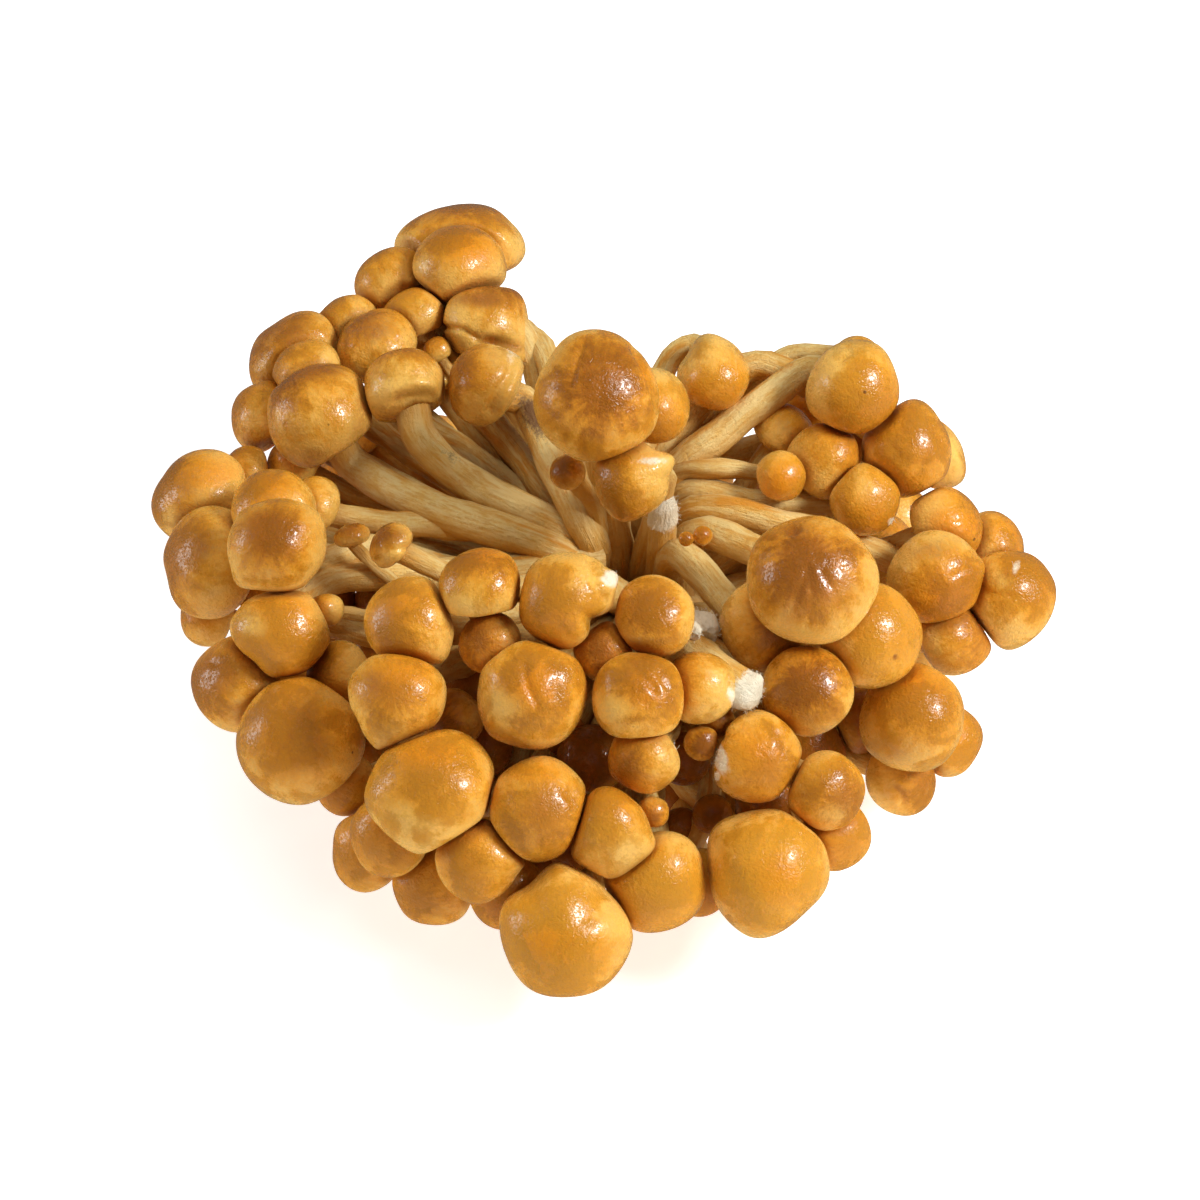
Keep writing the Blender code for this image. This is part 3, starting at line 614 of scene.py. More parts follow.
def make_cap_skin():
    material, tree, skin = new_material("cap skin")
    place = put(tree, "ShaderNodeTexCoord").outputs["Object"]
    polar, tone, yellow = read(tree, "polar"), read(tree, "tone"), read(tree, "yellow")
    mottle = placed(tree, blotches, {"Place": place, "Patch Scale": 140.0, "Grain Scale": 1500.0,
                                     "Grain Share": 0.25})
    streaks = noise(tree, read(tree, "spoke", "Vector"), 5.5, 3.0, 0.62)
    streak = step(tree, streaks, 0.3, 0.7, -0.5, 0.5)
    blotch = worked(tree, "SUBTRACT", mottle["Mask"], 0.5)
    wander = worked(tree, "MULTIPLY_ADD", streak, 0.10, worked(tree, "MULTIPLY", blotch, 0.24))
    down = worked(tree, "ADD", polar, wander)
    top = step(tree, down, *TOP, 1.0, 0.0)
    dark = worked(tree, "MULTIPLY", tone, worked(tree, "MULTIPLY_ADD", top, 1.25, 0.10))
    dark = worked(tree, "MULTIPLY_ADD", blotch, 0.36, dark)
    dark = put(tree, "ShaderNodeClamp", {0: dark}).outputs[0]
    colour = mixed(tree, yellow, rgba(AMBER), rgba(HONEY))
    colour = mixed(tree, dark, colour, rgba(TOASTED))
    colour = mixed(tree, step(tree, down, *HONEY_BAND, 0.0, 0.7), colour, rgba(HONEY))
    colour = mixed(tree, step(tree, down, *TAN_BAND, 0.0, 0.9), colour, rgba(MARGIN_TAN))
    colour = mixed(tree, step(tree, down, *VEIL_BAND), colour, rgba(VEIL_TAN))
    for name, tint, most in SPOT_TINTS:
        share = worked(tree, "MULTIPLY", broken(tree, read(tree, name), blotch, 0.1, 1.0), most)
        colour = mixed(tree, share, colour, rgba(tint))
    grain = step(tree, mottle["Mask"], 0.2, 0.8, 0.88, 1.10)
    shade = put(tree, "ShaderNodeCombineColor", {0: grain, 1: grain, 2: grain}).outputs[0]
    colour = mixed(tree, 1.0, colour, shade, "MULTIPLY")
    colour = mixed(tree, flecks(tree, place), colour, rgba(FLECK))
    torn = broken(tree, read(tree, "torn"), blotch, 0.2, 0.6)
    colour = mixed(tree, torn, colour, rgba(TORN_WHITE))
    tree.links.new(colour, skin["Base Color"])
    gloss = step(tree, mottle["Mask"], 0.15, 0.85, WET_GLOSS, DRY_GLOSS)
    dull = worked(tree, "ADD", torn, read(tree, "crease_shade"))
    tree.links.new(worked(tree, "MULTIPLY_ADD", dull, 0.35, gloss), skin["Roughness"])
    pucker = placed(tree, puckers, {"Place": place, "Wrinkle Scale": 1250.0, "Grain Scale": 2600.0,
                                    "Grain Share": 0.6})
    roughened(tree, skin, pucker["Height"], SKIN_RELIEF)
    wet = step(tree, noise(tree, place, 2300.0, 1.0, 0.6), 0.48, 0.57, 0.05, 1.0)
    dry = worked(tree, "SUBTRACT", 1.0, read(tree, "crease_shade"))
    tree.links.new(worked(tree, "MULTIPLY", wet, dry), skin["Coat Weight"])
    for socket, value in SKIN_VALUES.items():
        skin[socket].default_value = value
    return material


cap_skin = make_cap_skin()
print("made", cap_skin.name)

# %% [markdown]
# ## The flesh of the stems
#
# A stem is a bundle of fibres: cream where it is fresh and lit, tan and orange where slime has dried
# in long stains, brown toward the crown where no light reaches. The pattern follows each stem, so
# the mesh carries it as grain: round the stem, and along it.

# %% Stem flesh
CREAM = (0.90, 0.59, 0.17)
PALE = (0.95, 0.73, 0.31)
OCHRE = (0.72, 0.33, 0.035)
STAIN = (0.74, 0.26, 0.012)
# The colour of painted shade deep among the stems.
DEEP_SHADE_BROWN = (0.26, 0.088, 0.010)
GREY_BROWN = (0.22, 0.115, 0.050)


def make_stem_flesh():
    material, tree, flesh = new_material("stem flesh")
    place = put(tree, "ShaderNodeTexCoord").outputs["Object"]
    fibre_way = read(tree, "grain", "Vector")
    along, deep = read(tree, "along"), read(tree, "deep")
    stains = noise(tree, fibre_way, 0.8, 4.0, 0.6, 0.4)
    fibres = noise(tree, fibre_way, 6.0, 4.0, 0.7)
    bands = noise(tree, fibre_way, 1.9, 3.0)
    mottle = placed(tree, blotches, {"Place": place, "Patch Scale": 330.0, "Grain Scale": 2100.0,
                                     "Grain Share": 0.5})
    blotch = worked(tree, "SUBTRACT", mottle["Mask"], 0.5)
    colour = mixed(tree, mottle["Mask"], rgba(CREAM), rgba(PALE))
    colour = mixed(tree, step(tree, stains, 0.46, 0.66, 0.0, 0.7), colour, rgba(OCHRE))
    colour = mixed(tree, step(tree, stains, 0.60, 0.68, 0.0, 0.6), colour, rgba(STAIN))
    colour = mixed(tree, step(tree, fibres, 0.36, 0.58, 0.55, 0.0), colour, rgba(OCHRE))
    colour = mixed(tree, step(tree, bands, 0.50, 0.62, 0.0, 0.7), colour, rgba(PALE))
    # Just under the cap the stem turns ochre: partly the veil's own colour, partly painted shade under the
    # cap.
    colour = mixed(tree, step(tree, along, 0.86, 0.98, 0.0, 0.55), colour, rgba(OCHRE))
    # Painted shade: the side of the stem turned away from above turns ochre.
    colour = mixed(tree, worked(tree, "MULTIPLY", read(tree, "under"), 0.75), colour, rgba(OCHRE))
    # Painted shade: deep among the stems and near the crown the flesh turns dark brown.
    colour = mixed(tree, deep, colour, rgba(DEEP_SHADE_BROWN))
    for name, tint in (("orange", STAIN), ("bruise", GREY_BROWN)):
        colour = mixed(tree, broken(tree, read(tree, name), blotch), colour, rgba(tint))
    torn = broken(tree, read(tree, "torn"), blotch, 0.2, 0.6)
    colour = mixed(tree, torn, colour, rgba(TORN_WHITE))
    tree.links.new(colour, flesh["Base Color"])
    tree.links.new(step(tree, stains, 0.3, 0.7, 0.50, 0.30), flesh["Roughness"])
    flesh["IOR"].default_value = WATERY
    pucker = placed(tree, puckers, {"Place": place, "Wrinkle Scale": 900.0, "Grain Scale": 3600.0,
                                    "Grain Share": 0.5})
    height = worked(tree, "MULTIPLY_ADD", fibres, 2.4, pucker["Height"])
    roughened(tree, flesh, height, FLESH_RELIEF)
    return material


stem_flesh = make_stem_flesh()
print("made", stem_flesh.name)

# %% [markdown]
# ## The shape of a cap
#
# A nameko cap is a bun: a low dome on top, widest a little below the middle, with the margin rolled
# in under it toward the stem. A ball made from a cube's six faces has no pole to pinch, so each cap
# starts as one: its points are moved out to the cap's outline, given a few slow lumps of its own,
# and pressed soft-edged against the flats where its neighbours touch it.

# %% A ball with no poles


def ball(steps):
    """Directions and faces of a ball from a cube, with so many steps along each edge."""
    lines = np.tan(np.linspace(-1, 1, steps + 1) * math.pi / 4)
    known, points, faces = {}, [], []
    for turn in range(3):
        for side in (1.0, -1.0):
            number = np.empty((steps + 1, steps + 1), int)
            for i, u in enumerate(lines):
                for j, v in enumerate(lines):
                    spot = np.roll([side, u * side, v], turn)
                    key = tuple(np.round(spot, 5))
                    if key not in known:
                        known[key] = len(points)
                        points.append(unit(spot))
                    number[i, j] = known[key]
            for i in range(steps):
                for j in range(steps):
                    faces.append((number[i, j], number[i + 1, j], number[i + 1, j + 1], number[i, j + 1]))
    return np.array(points), np.array(faces)


# Widths from which a cap is made of so many steps along a sixth of its ball, finest first.
FINENESS = ((20.0, 32), (15.0, 26), (11.0, 21), (0.0, 14))
COARSE = 12
balls = {steps: ball(steps) for _, steps in FINENESS}
balls[COARSE] = ball(COARSE)
print("points on a large cap:", len(balls[32][0]))

# %% The outline of a cap
PROFILE = ((0, 0.80), (20, 0.82), (40, 0.87), (60, 0.935), (78, 0.98), (95, 1.005), (110, 1.01),
           (122, 0.965), (134, 0.88), (145, 0.74), (155, 0.60), (166, 0.48), (180, 0.43))
SMOOTHING = 15


def smooth_profile():
    """The outline at each degree from the top, with its corners rounded off."""
    degrees = np.arange(-40, 221)
    folded = np.where(degrees < 0, -degrees, np.where(degrees > 180, 360 - degrees, degrees))
    rough = np.interp(folded, *zip(*PROFILE))
    window = np.hanning(SMOOTHING + 2)[1:-1]
    return np.convolve(rough, window / window.sum(), "same")[40:221]


profile = smooth_profile()


def frame_of(axis):
    """Two directions square to an axis."""
    side = unit(np.cross(axis, [0.31, 0.17, 0.93] if abs(axis[2]) < 0.9 else [1.0, 0.2, 0.1]))
    return side, np.cross(axis, side)


def slow_lumps(directions, rng):
    """A few slow waves over a ball, between about -1 and 1."""
    total = np.zeros(len(directions))
    for _ in range(5):
        wave = rng.normal(0, 2.1, 3)
        total += np.sin(directions @ wave + rng.uniform(0, 2 * math.pi))
    return total / 3


# %% Pressing and seeing
SOFT_EDGE = 0.45


def press(points, planes):
    """Flattens what goes past each plane, with a rounded turn into the flat."""
    for point, normal in planes:
        over = (points - point) @ normal + GAP / 2
        kept = -SOFT_EDGE * np.logaddexp(0, -over / SOFT_EDGE)
        points = points - (over - kept)[:, None] * normal
    return points


def as_read(points):
    """Where points are read: across and up, as in the table of caps."""
    toward = (points - CROWN) @ TOWARD
    seen = READER + (points - READER) * (READING_DISTANCE / (READING_DISTANCE - toward))[:, None]
    return np.stack([(seen - CROWN) @ ACROSS, (seen - CROWN) @ UP], axis=1)


# %% [markdown]
# ## What makes each cap its own
#
# No two caps are alike. How dark and how yellow each one is was judged, in the order of the
# table above. Its marks were measured like the caps themselves, across and up in millimetres. A pull
# moves the outline out, in a direction counted in degrees from the right. A dent presses the skin in
# over an ellipse, a groove does so along a line, and a negative depth raises it. A spot changes the
# colour. The caps behind, which nobody saw, get their looks from a seeded draw.

# %% Tone and yellowness of each cap
# The darker tones of caps that sit in shade among the others are partly painted shade.
TONES = {
    "high": (
        (0.55, 0.2), (0.45, 0.35), (0.35, 0.4), (0.15, 0.45), (0.85, 0.15), (0.55, 0.15), (0.35, 0.4),
        (0.6, 0.15), (0.35, 0.35), (0.75, 0.2), (0.65, 0.1), (0.6, 0.05), (0.35, 0.3), (0.5, 0.2),
        (0.5, 0.2),
    ),
    "crown": ((0.8, 0.1), (0.8, 0.1), (0.4, 0.5), (0.25, 0.6), (0.1, 0.65)),
    "right": (
        (0.3, 0.55), (0.2, 0.5), (0.5, 0.5), (0.3, 0.4), (0.25, 0.8), (0.35, 0.45), (0.05, 0.5),
        (0.15, 0.6), (0.3, 0.5), (0.3, 0.5), (0.35, 0.4), (0.45, 0.2), (0.55, 0.3),
    ),
    "front_right": (
        (0.8, 0.05), (0.5, 0.25), (0.15, 0.7), (0.9, 0.0), (0.4, 0.4), (0.2, 0.5), (0.5, 0.4), (0.6, 0.3),
        (0.2, 0.5), (0.45, 0.4), (0.1, 0.8), (0.4, 0.3), (0.95, 0.3), (0.5, 0.2),
    ),
    "front": (
        (0.2, 0.8), (0.3, 0.6), (0.7, 0.2), (0.15, 0.7), (0.4, 0.4), (0.4, 0.3), (0.3, 0.5), (0.35, 0.6),
        (0.4, 0.4), (0.3, 0.4), (0.3, 0.5), (0.55, 0.2), (0.55, 0.4), (0.35, 0.2), (0.6, 0.2), (0.7, 0.1),
    ),
    "front_left": (
        (0.6, 0.3), (0.7, 0.2), (0.45, 0.4), (0.7, 0.1), (0.3, 0.4), (0.4, 0.4), (0.5, 0.4), (0.6, 0.3),
    ),
    "left": (
        (0.4, 0.3), (0.3, 0.4), (0.5, 0.25), (0.2, 0.45), (0.1, 0.5), (0.5, 0.2), (0.7, 0.15), (0.4, 0.4),
        (0.1, 0.5), (0.5, 0.35), (0.5, 0.4), (0.2, 0.4), (1.5, 0.0), (1.6, 0.0),
    ),
}

# %% Marks of the caps at the back and on the right
Pull = namedtuple("Pull", "turn much spread", defaults=(24,))
Dent = namedtuple("Dent", "across up wide high turn deep")
Groove = namedtuple("Groove", "path wide deep")
Spot = namedtuple("Spot", "kind across up wide high turn much")

MARKS = {
    # The dark spot in this cap's dent is painted shade in the hollow.
    ("high", 0): (
        Pull(-25, 1.2), Pull(180, 0.8), Dent(-34.5, 56.8, 5.5, 1.6, 8, 1.0),
        Groove(((-38.5, 57.5), (-33, 58.2), (-27, 57.6), (-24.5, 55.5)), 0.8, 0.5),
        Spot("toast", -35, 56.5, 5, 2, 0, 0.6), Spot("pale", -40.5, 56, 1.5, 3, 0, 0.5),
    ),
    ("high", 1): (
        Spot("orange", -29, 54, 6, 4, -20, 0.7), Spot("toast", -33, 55.5, 3.5, 1.5, 30, 0.3),
        Spot("pale", -37, 51, 2, 3, 0, 0.6), Spot("pale", -23.8, 49.5, 2, 3, 0, 0.6),
    ),
    ("high", 2): (Spot("orange", -43.5, 51, 4, 3, 0, 0.5), Dent(-41.5, 48.2, 0.8, 0.8, 0, -0.5)),
    # The dark spot in the hollow under the curled rim is painted shade.
    ("high", 4): (
        Pull(45, 1.2, 22), Pull(135, 0.6, 22), Pull(-42, 2.2, 20), Dent(-24, 37.4, 4.5, 1.5, -10, 1.7),
        Groove(((-34, 40.6), (-30.5, 40.2), (-28, 38.4)), 0.5, 0.8),
        Spot("bruise", -26.5, 45.5, 6, 1.9, -5, 0.8), Spot("toast", -24, 37.4, 5, 1.6, -10, 0.9),
        Spot("pale", -32.3, 42.7, 2.2, 2.4, 0, 0.6),
    ),
    ("high", 5): (
        Groove(((-50.5, 40.5), (-47, 41.2), (-44, 40.2), (-42.5, 38.5)), 0.45, 0.3),
        Spot("bruise", -47, 40, 5, 2.5, 0, 0.5), Spot("pale", -52.3, 36.3, 1.6, 2.4, 0, 0.6),
        Dent(-48, 36, 2, 2, 0, 0.3), Spot("wrinkle", -46, 38.5, 6, 4, 0, 1.0),
    ),
    ("high", 7): (Spot("bruise", -62, 39.5, 5, 2.2, 30, 0.6), Spot("pale", -67.5, 32.5, 2.5, 5, -15, 0.5)),
    ("high", 9): (
        Pull(-95, 0.8, 20), Pull(160, 0.7, 18), Pull(-20, 0.6, 20),
        Spot("toast", -57, 32.5, 7, 2, 5, 0.6), Spot("toast", -51, 24, 2.5, 6, 0, 0.5),
        Spot("pale", -63, 24, 2.5, 3, 0, 0.35), Spot("toast", -58, 17.5, 3, 2, 0, 0.6),
    ),
    # The darkest spot, in the hollow where the stem goes in, is painted shade.
    ("high", 10): (
        Dent(-39.5, 27.6, 4.8, 1.7, 10, 2.2), Pull(-150, 0.8, 20),
        Groove(((-45, 26.5), (-43.5, 29.5), (-40, 31), (-36.5, 30.5), (-34.3, 28)), 0.8, -0.5),
        Spot("toast", -38.5, 26.2, 3.5, 1.3, 5, 1.0), Spot("bruise", -40, 28.3, 5, 1.6, 8, 0.45),
    ),
    ("high", 11): (
        Groove(((-21, 34), (-22, 31), (-24, 28.5), (-25.2, 25)), 0.7, 1.0), Pull(30, 0.9, 20),
        Dent(-22.4, 28, 1.1, 3, -25, -0.8), Spot("torn", -21.5, 35, 1.4, 2.2, 30, 0.45),
        Spot("toast", -25, 25.5, 1.2, 1.8, 0, 0.35), Spot("bruise", -24, 31, 6, 6, 0, 0.4),
    ),
    ("crown", 0): (
        Groove(((-9.6, 38.2), (-10.6, 35.5), (-11.4, 32.5), (-12, 30.5)), 0.5, 0.6),
        Groove(((-0.8, 37.3), (1, 34.2), (2.6, 30.8), (3.8, 26.5)), 0.55, 0.6),
        Spot("orange", 1.6, 32.8, 1.3, 4.5, 28, 0.8), Spot("toast", -6, 34, 8, 5, 0, 0.45),
        Spot("wrinkle", -4, 31, 8, 8, 0, 0.5), Pull(88, 0.9, 30), Pull(-85, 0.4, 25),
    ),
    ("crown", 1): (Spot("toast", -13.5, 13.5, 2, 5, 0, 0.6),),
    ("crown", 2): (
        Pull(25, 2.2, 16), Pull(-98, 0.9, 25), Pull(95, 0.8, 25),
        Groove(((0, 15.2), (3, 14.8), (6.5, 15)), 0.5, 0.35), Spot("torn", 3.5, 15.3, 3.4, 0.6, 0, 0.4),
        Spot("orange", -2, 16, 6, 3, 0, 0.6), Dent(2.5, 12.5, 1.5, 1.5, 0, 0.25),
    ),
    # The pale spot high on this cap is a painted highlight.
    ("crown", 4): (
        Pull(100, 0.4, 20), Spot("pale", 13, 33, 4, 5, 0, 0.35), Spot("orange", 18.5, 31, 1.5, 5, 0, 0.4),
    ),
    ("right", 0): (
        Spot("orange", 38, 26, 5, 3, 0, 0.55), Groove(((38.2, 37.5), (38.6, 36.3), (37, 35)), 0.5, 0.4),
        Dent(33.5, 28.5, 1.5, 4, 20, 0.3),
    ),
    ("right", 4): (Spot("orange", 25, 12, 4, 4, 0, 0.7),),
    ("right", 5): (
        Pull(80, 1.6, 25), Pull(130, -0.8, 22), Pull(40, -0.3, 20), Spot("orange", 50, 13, 5, 3, 0, 0.45),
        Groove(((46.5, 19), (49, 16.5), (52.5, 16)), 0.8, 0.2),
        Groove(((53, 25), (55, 21), (56, 16)), 0.7, 0.3),
    ),
    # This cap's pale patch is partly its own cream colour, partly a painted sheen.
    ("right", 6): (Spot("pale", 57.5, 17, 3, 6, 0, 0.8), Pull(-40, 1.3, 25)),
    ("right", 7): (
        Pull(105, 0.5, 25), Spot("orange", 43, 4.5, 4, 2.5, 0, 0.6), Spot("pale", 40, 11, 4, 3, 0, 0.4),
        Spot("torn", 46.4, 4.2, 1.2, 1.0, 0, 0.8),
    ),
    ("right", 8): (Spot("orange", 57, 5, 5, 3, -10, 1.0), Spot("wrinkle", 57, 5, 5, 3, -10, 1.6)),
    ("right", 9): (Spot("orange", 66, 3, 4, 3, 0, 0.5),),
    ("right", 10): (
        Pull(10, 0.7, 25), Pull(-95, 0.6, 25), Spot("torn", 69.2, -3.6, 0.9, 1.9, -20, 0.6),
        Spot("pale", 66, -6, 3.8, 2.5, -20, 0.6), Spot("wrinkle", 66, -5, 4, 3.5, 0, 1.4),
        Groove(((61.5, -6), (64.5, -8.6), (68.5, -8.8)), 0.5, 0.4), Dent(66.5, -4.5, 2.5, 2, 0, 0.3),
    ),
    ("right", 11): (
        Pull(15, 0.8, 15), Groove(((60.8, -1.2), (59.5, -3), (56.5, -4.5)), 0.6, 0.35),
        Spot("bruise", 52, 0, 6, 2.5, 0, 0.4), Spot("orange", 52, -9, 6, 2.5, 0, 0.5),
    ),
    ("right", 12): (Spot("bruise", 56, -15, 3, 2, 0, 0.5),),
}
print("caps with marks at the back and on the right:", len(MARKS))

# %% Marks of the caps in front and on the left
MARKS |= {
    # The dark spot in the small pit at the top is painted shade.
    ("front_right", 0): (
        Dent(28.3, 4.4, 1.4, 0.8, 15, 0.8), Spot("toast", 28.3, 4.4, 2, 1.2, 10, 1.0),
        Spot("bruise", 32, -6, 9, 7, 0, 0.6), Groove(((31, -2.5), (29.5, -6.5), (28, -10)), 0.7, 0.35),
        Groove(((33.5, -3), (36, -7), (37.5, -10.5)), 0.7, 0.3),
        Groove(((31.5, -4), (31.7, -9), (31, -13)), 0.6, 0.25), Spot("wrinkle", 32, -3, 9, 8, 0, 0.8),
    ),
    ("front_right", 2): (
        Spot("toast", 47.6, -18.9, 0.45, 0.45, 0, 1.0), Spot("orange", 44, -9, 5, 3, 0, 0.4),
    ),
    ("front_right", 3): (Spot("toast", 31, -31, 6, 2.5, 0, 0.5),),
    ("front_right", 4): (
        Pull(90, 0.8, 25), Spot("bruise", 45.5, -36, 4, 4, 0, 0.5), Spot("orange", 50, -25, 6, 4, 0, 0.5),
        Groove(((43, -38), (46, -40.6), (50, -41.2), (55, -38.5), (57.5, -34.5)), 0.5, 0.25),
    ),
    ("front_right", 6): (
        Groove(((47, -43.5), (48.6, -45), (48.8, -46.5)), 0.7, 0.6),
        Spot("bruise", 47, -44, 3, 2, 0, 0.5),
    ),
    ("front_right", 7): (Spot("pale", 37, -47.5, 4, 2, 0, 0.4), Spot("toast", 34, -38, 5, 3, 0, 0.35)),
    ("front_right", 9): (
        Spot("torn", 15.2, -38.2, 1.2, 3.2, 12, 0.9), Dent(21, -34, 3, 1, 10, 0.35),
        Groove(((16, -34.5), (19, -32.5), (23, -32), (26, -34)), 0.7, 0.35),
        Spot("orange", 21, -36, 6, 5, 0, 0.5), Spot("torn", 14.7, -41.6, 0.7, 1.1, 0, 0.8),
        Spot("wrinkle", 21, -35, 6, 5, 0, 0.8),
    ),
    ("front_right", 10): (
        Pull(-100, 1.0, 22), Pull(140, 0.8, 20), Pull(-35, -0.6, 25),
        Spot("orange", 26, -60, 7, 5, 0, 0.5), Dent(17.5, -51, 1.5, 3, -20, 0.3),
    ),
    ("front", 1): (
        Pull(-90, 0.6, 25), Pull(60, -0.5, 20), Pull(-20, 0.9, 20), Pull(-150, 0.5, 20),
        Spot("orange", -3.5, -44.5, 4.5, 3, 0, 0.6), Spot("pale", 0, -54, 4, 5, 0, 0.6),
    ),
    # The pale spot at the right of this cap is a painted highlight.
    ("front", 3): (
        Pull(93, 0.9, 16), Pull(150, 0.5, 18), Pull(45, -0.8, 18), Pull(130, -0.7, 15),
        Spot("orange", -14, -71.5, 9, 4.5, -10, 0.6), Spot("pale", -4.5, -67.5, 2.5, 4, 20, 0.5),
        Dent(-9, -66.5, 2, 3, 40, 0.3),
    ),
    ("front", 4): (
        Groove(((-12, -43.5), (-10.5, -45), (-9.5, -47)), 0.5, 0.25), Dent(-10.2, -43.8, 1, 1.6, 40, 0.5),
        Spot("orange", -17, -39.5, 7, 3, 0, 0.6), Spot("bruise", -15, -45, 6, 4, 0, 0.35),
    ),
    ("front", 6): (Pull(0, 1.2, 15), Pull(-90, 0.3, 20), Spot("orange", -29, -50, 5, 3, 0, 0.4)),
    ("front", 7): (
        Spot("orange", -37, -36.8, 8, 3.2, -5, 0.75), Spot("pale", -40, -49, 8, 3, -10, 0.55),
        Pull(190, 0.5, 20), Pull(10, 0.4, 25), Dent(-40, -44, 5, 3, 0, 0.3),
    ),
    ("front", 11): (
        Pull(20, 0.3, 20), Spot("toast", 2, -16.4, 7, 1.6, 10, 0.6),
        Spot("toast", -2.5, -11, 1.6, 5, 0, 0.4),
    ),
    ("front", 12): (
        Groove(((1, -21.5), (3, -23.5), (4.5, -25.5)), 0.8, 0.4),
        Groove(((5, -22.5), (6.5, -25)), 0.6, 0.3), Dent(2.8, -28.3, 0.9, 0.9, 0, 0.35),
        Spot("toast", 3, -19.8, 6, 2, 5, 0.7), Spot("orange", 2.5, -24.5, 5, 4, 0, 0.6),
        Spot("pale", -3, -29.5, 3.5, 3.5, 0, 0.5), Pull(-110, 0.5, 20), Pull(140, 0.4, 20),
        Spot("wrinkle", 3, -24, 3, 3, 0, 1.0),
    ),
    ("front", 13): (
        Groove(((16.6, -21.5), (17, -24.5), (15.3, -27.5), (12.5, -29.3)), 0.45, 0.5),
        Spot("torn", 17.4, -24.5, 0.8, 3, 0, 0.4),
    ),
    ("front", 14): (
        Spot("torn", 8.3, -34.6, 0.9, 1.5, 60, 0.9), Spot("pale", 6.6, -37, 1.2, 2.5, -50, 0.6),
    ),
    ("front_left", 0): (
        Groove(((-34.5, -11.9), (-29, -12.5), (-23, -11.2)), 0.45, 1.0), Pull(45, 0.4, 18),
        Spot("toast", -29, -14.4, 7, 1.6, 0, 0.7), Spot("orange", -28, -1.5, 6, 3, 0, 0.5),
    ),
    ("front_left", 2): (
        Groove(((-20.8, -20.5), (-20.3, -24), (-18.5, -27.5)), 0.8, 0.6), Dent(-15, -25, 1, 3, 0, 0.3),
        Spot("orange", -19, -23, 6, 5, 0, 0.6), Spot("pale", -26, -28.5, 4, 5, 30, 0.65),
        Spot("toast", -24, -33.6, 6, 1.3, -25, 0.7), Dent(-26, -29.5, 4, 4, 30, 0.5), Pull(-135, 0.5, 15),
        Pull(150, 0.7, 15), Pull(40, 0.4, 20),
    ),
    ("front_left", 4): (
        Pull(-35, -3.4, 22), Pull(22, 1.4, 12), Spot("torn", -3.6, -4.3, 1.8, 1.8, -20, 0.7),
        Groove(((-7.5, -1), (-6.2, -3.5), (-6.8, -5.5), (-4.8, -8)), 0.6, 0.6),
        Groove(((-5, -2.5), (-3.5, -5)), 0.5, 0.4), Spot("pale", -8, -6, 4.5, 3.5, 0, 0.5),
        Spot("orange", -13, -13, 6, 4, 0, 0.35), Spot("wrinkle", -6, -4.5, 4, 4, 0, 1.2),
    ),
    ("front_left", 5): (Pull(-50, 0.8, 20), Spot("orange", -41, -9, 6, 4, 0, 0.5)),
    ("front_left", 6): (
        Pull(-95, 1.4, 20), Pull(-150, -0.6, 18), Pull(160, 0.4, 15), Pull(20, 0.3, 20),
        Spot("bruise", -48, -23.5, 2.5, 3, 0, 0.5), Spot("orange", -42, -20.5, 6, 4, 0, 0.6),
        Spot("pale", -44, -32.5, 4, 3, 0, 0.55),
    ),
    ("left", 0): (
        Spot("bruise", -61, -36, 6, 4.5, 20, 0.5), Spot("toast", -59, -38, 7, 3, 10, 0.5),
        Dent(-61, -36, 4, 3, 0, 0.4), Pull(85, 0.5, 25),
    ),
    ("left", 2): (
        Spot("bruise", -75, -22, 4.5, 4, 0, 0.6), Spot("toast", -72.5, -17, 3.5, 1.6, -20, 0.7),
        Groove(((-77, -20), (-74, -19.5), (-72.5, -22), (-74, -25)), 0.6, 0.25),
        Spot("wrinkle", -75, -22, 4, 4, 0, 1.2),
    ),
    ("left", 3): (
        Pull(172, 1.0, 18), Pull(-78, 0.8, 20), Pull(-135, -1.1, 22), Pull(120, -0.6, 20),
        Spot("pale", -70, -12.5, 3.5, 3, 0, 0.6), Spot("orange", -62, -9.5, 6, 3, 0, 0.45),
    ),
    ("left", 5): (Spot("bruise", -79, 0, 3, 5, -10, 0.55), Spot("toast", -73, -3, 2.5, 7, 0, 0.35)),
    ("left", 6): (
        Pull(-135, 1.1, 16), Pull(135, 0.5, 16), Pull(-45, -0.5, 20), Pull(35, 0.5, 20),
        Spot("toast", -65.5, 4, 5.5, 5, 20, 0.8), Spot("bruise", -68, 6, 3, 2, 0, 0.4),
        Dent(-66, -1, 3, 3, 0, 0.25), Spot("wrinkle", -65, 3, 5, 5, 0, 0.8),
    ),
    ("left", 7): (
        Groove(((-64, 14.5), (-61.5, 11), (-58.5, 6)), 0.8, 0.4), Spot("orange", -65, 13, 5, 2.5, 0, 0.6),
    ),
    ("left", 9): (
        Spot("bruise", -82, 11, 3, 4, -20, 0.4), Spot("pale", -84.5, 5, 2.5, 3.5, 0, 0.6),
        Spot("orange", -77, 14, 6, 3.5, 0, 0.7),
    ),
    ("left", 12): (
        Spot("toast", -44.5, 2.2, 4.5, 2, 10, 0.8),
        Groove(((-46.5, -2.2), (-44.5, -0.3), (-41, 0.5)), 0.5, 0.5),
    ),
    ("left", 13): (Spot("toast", -51, 3, 4, 2, 0, 0.8),),
}
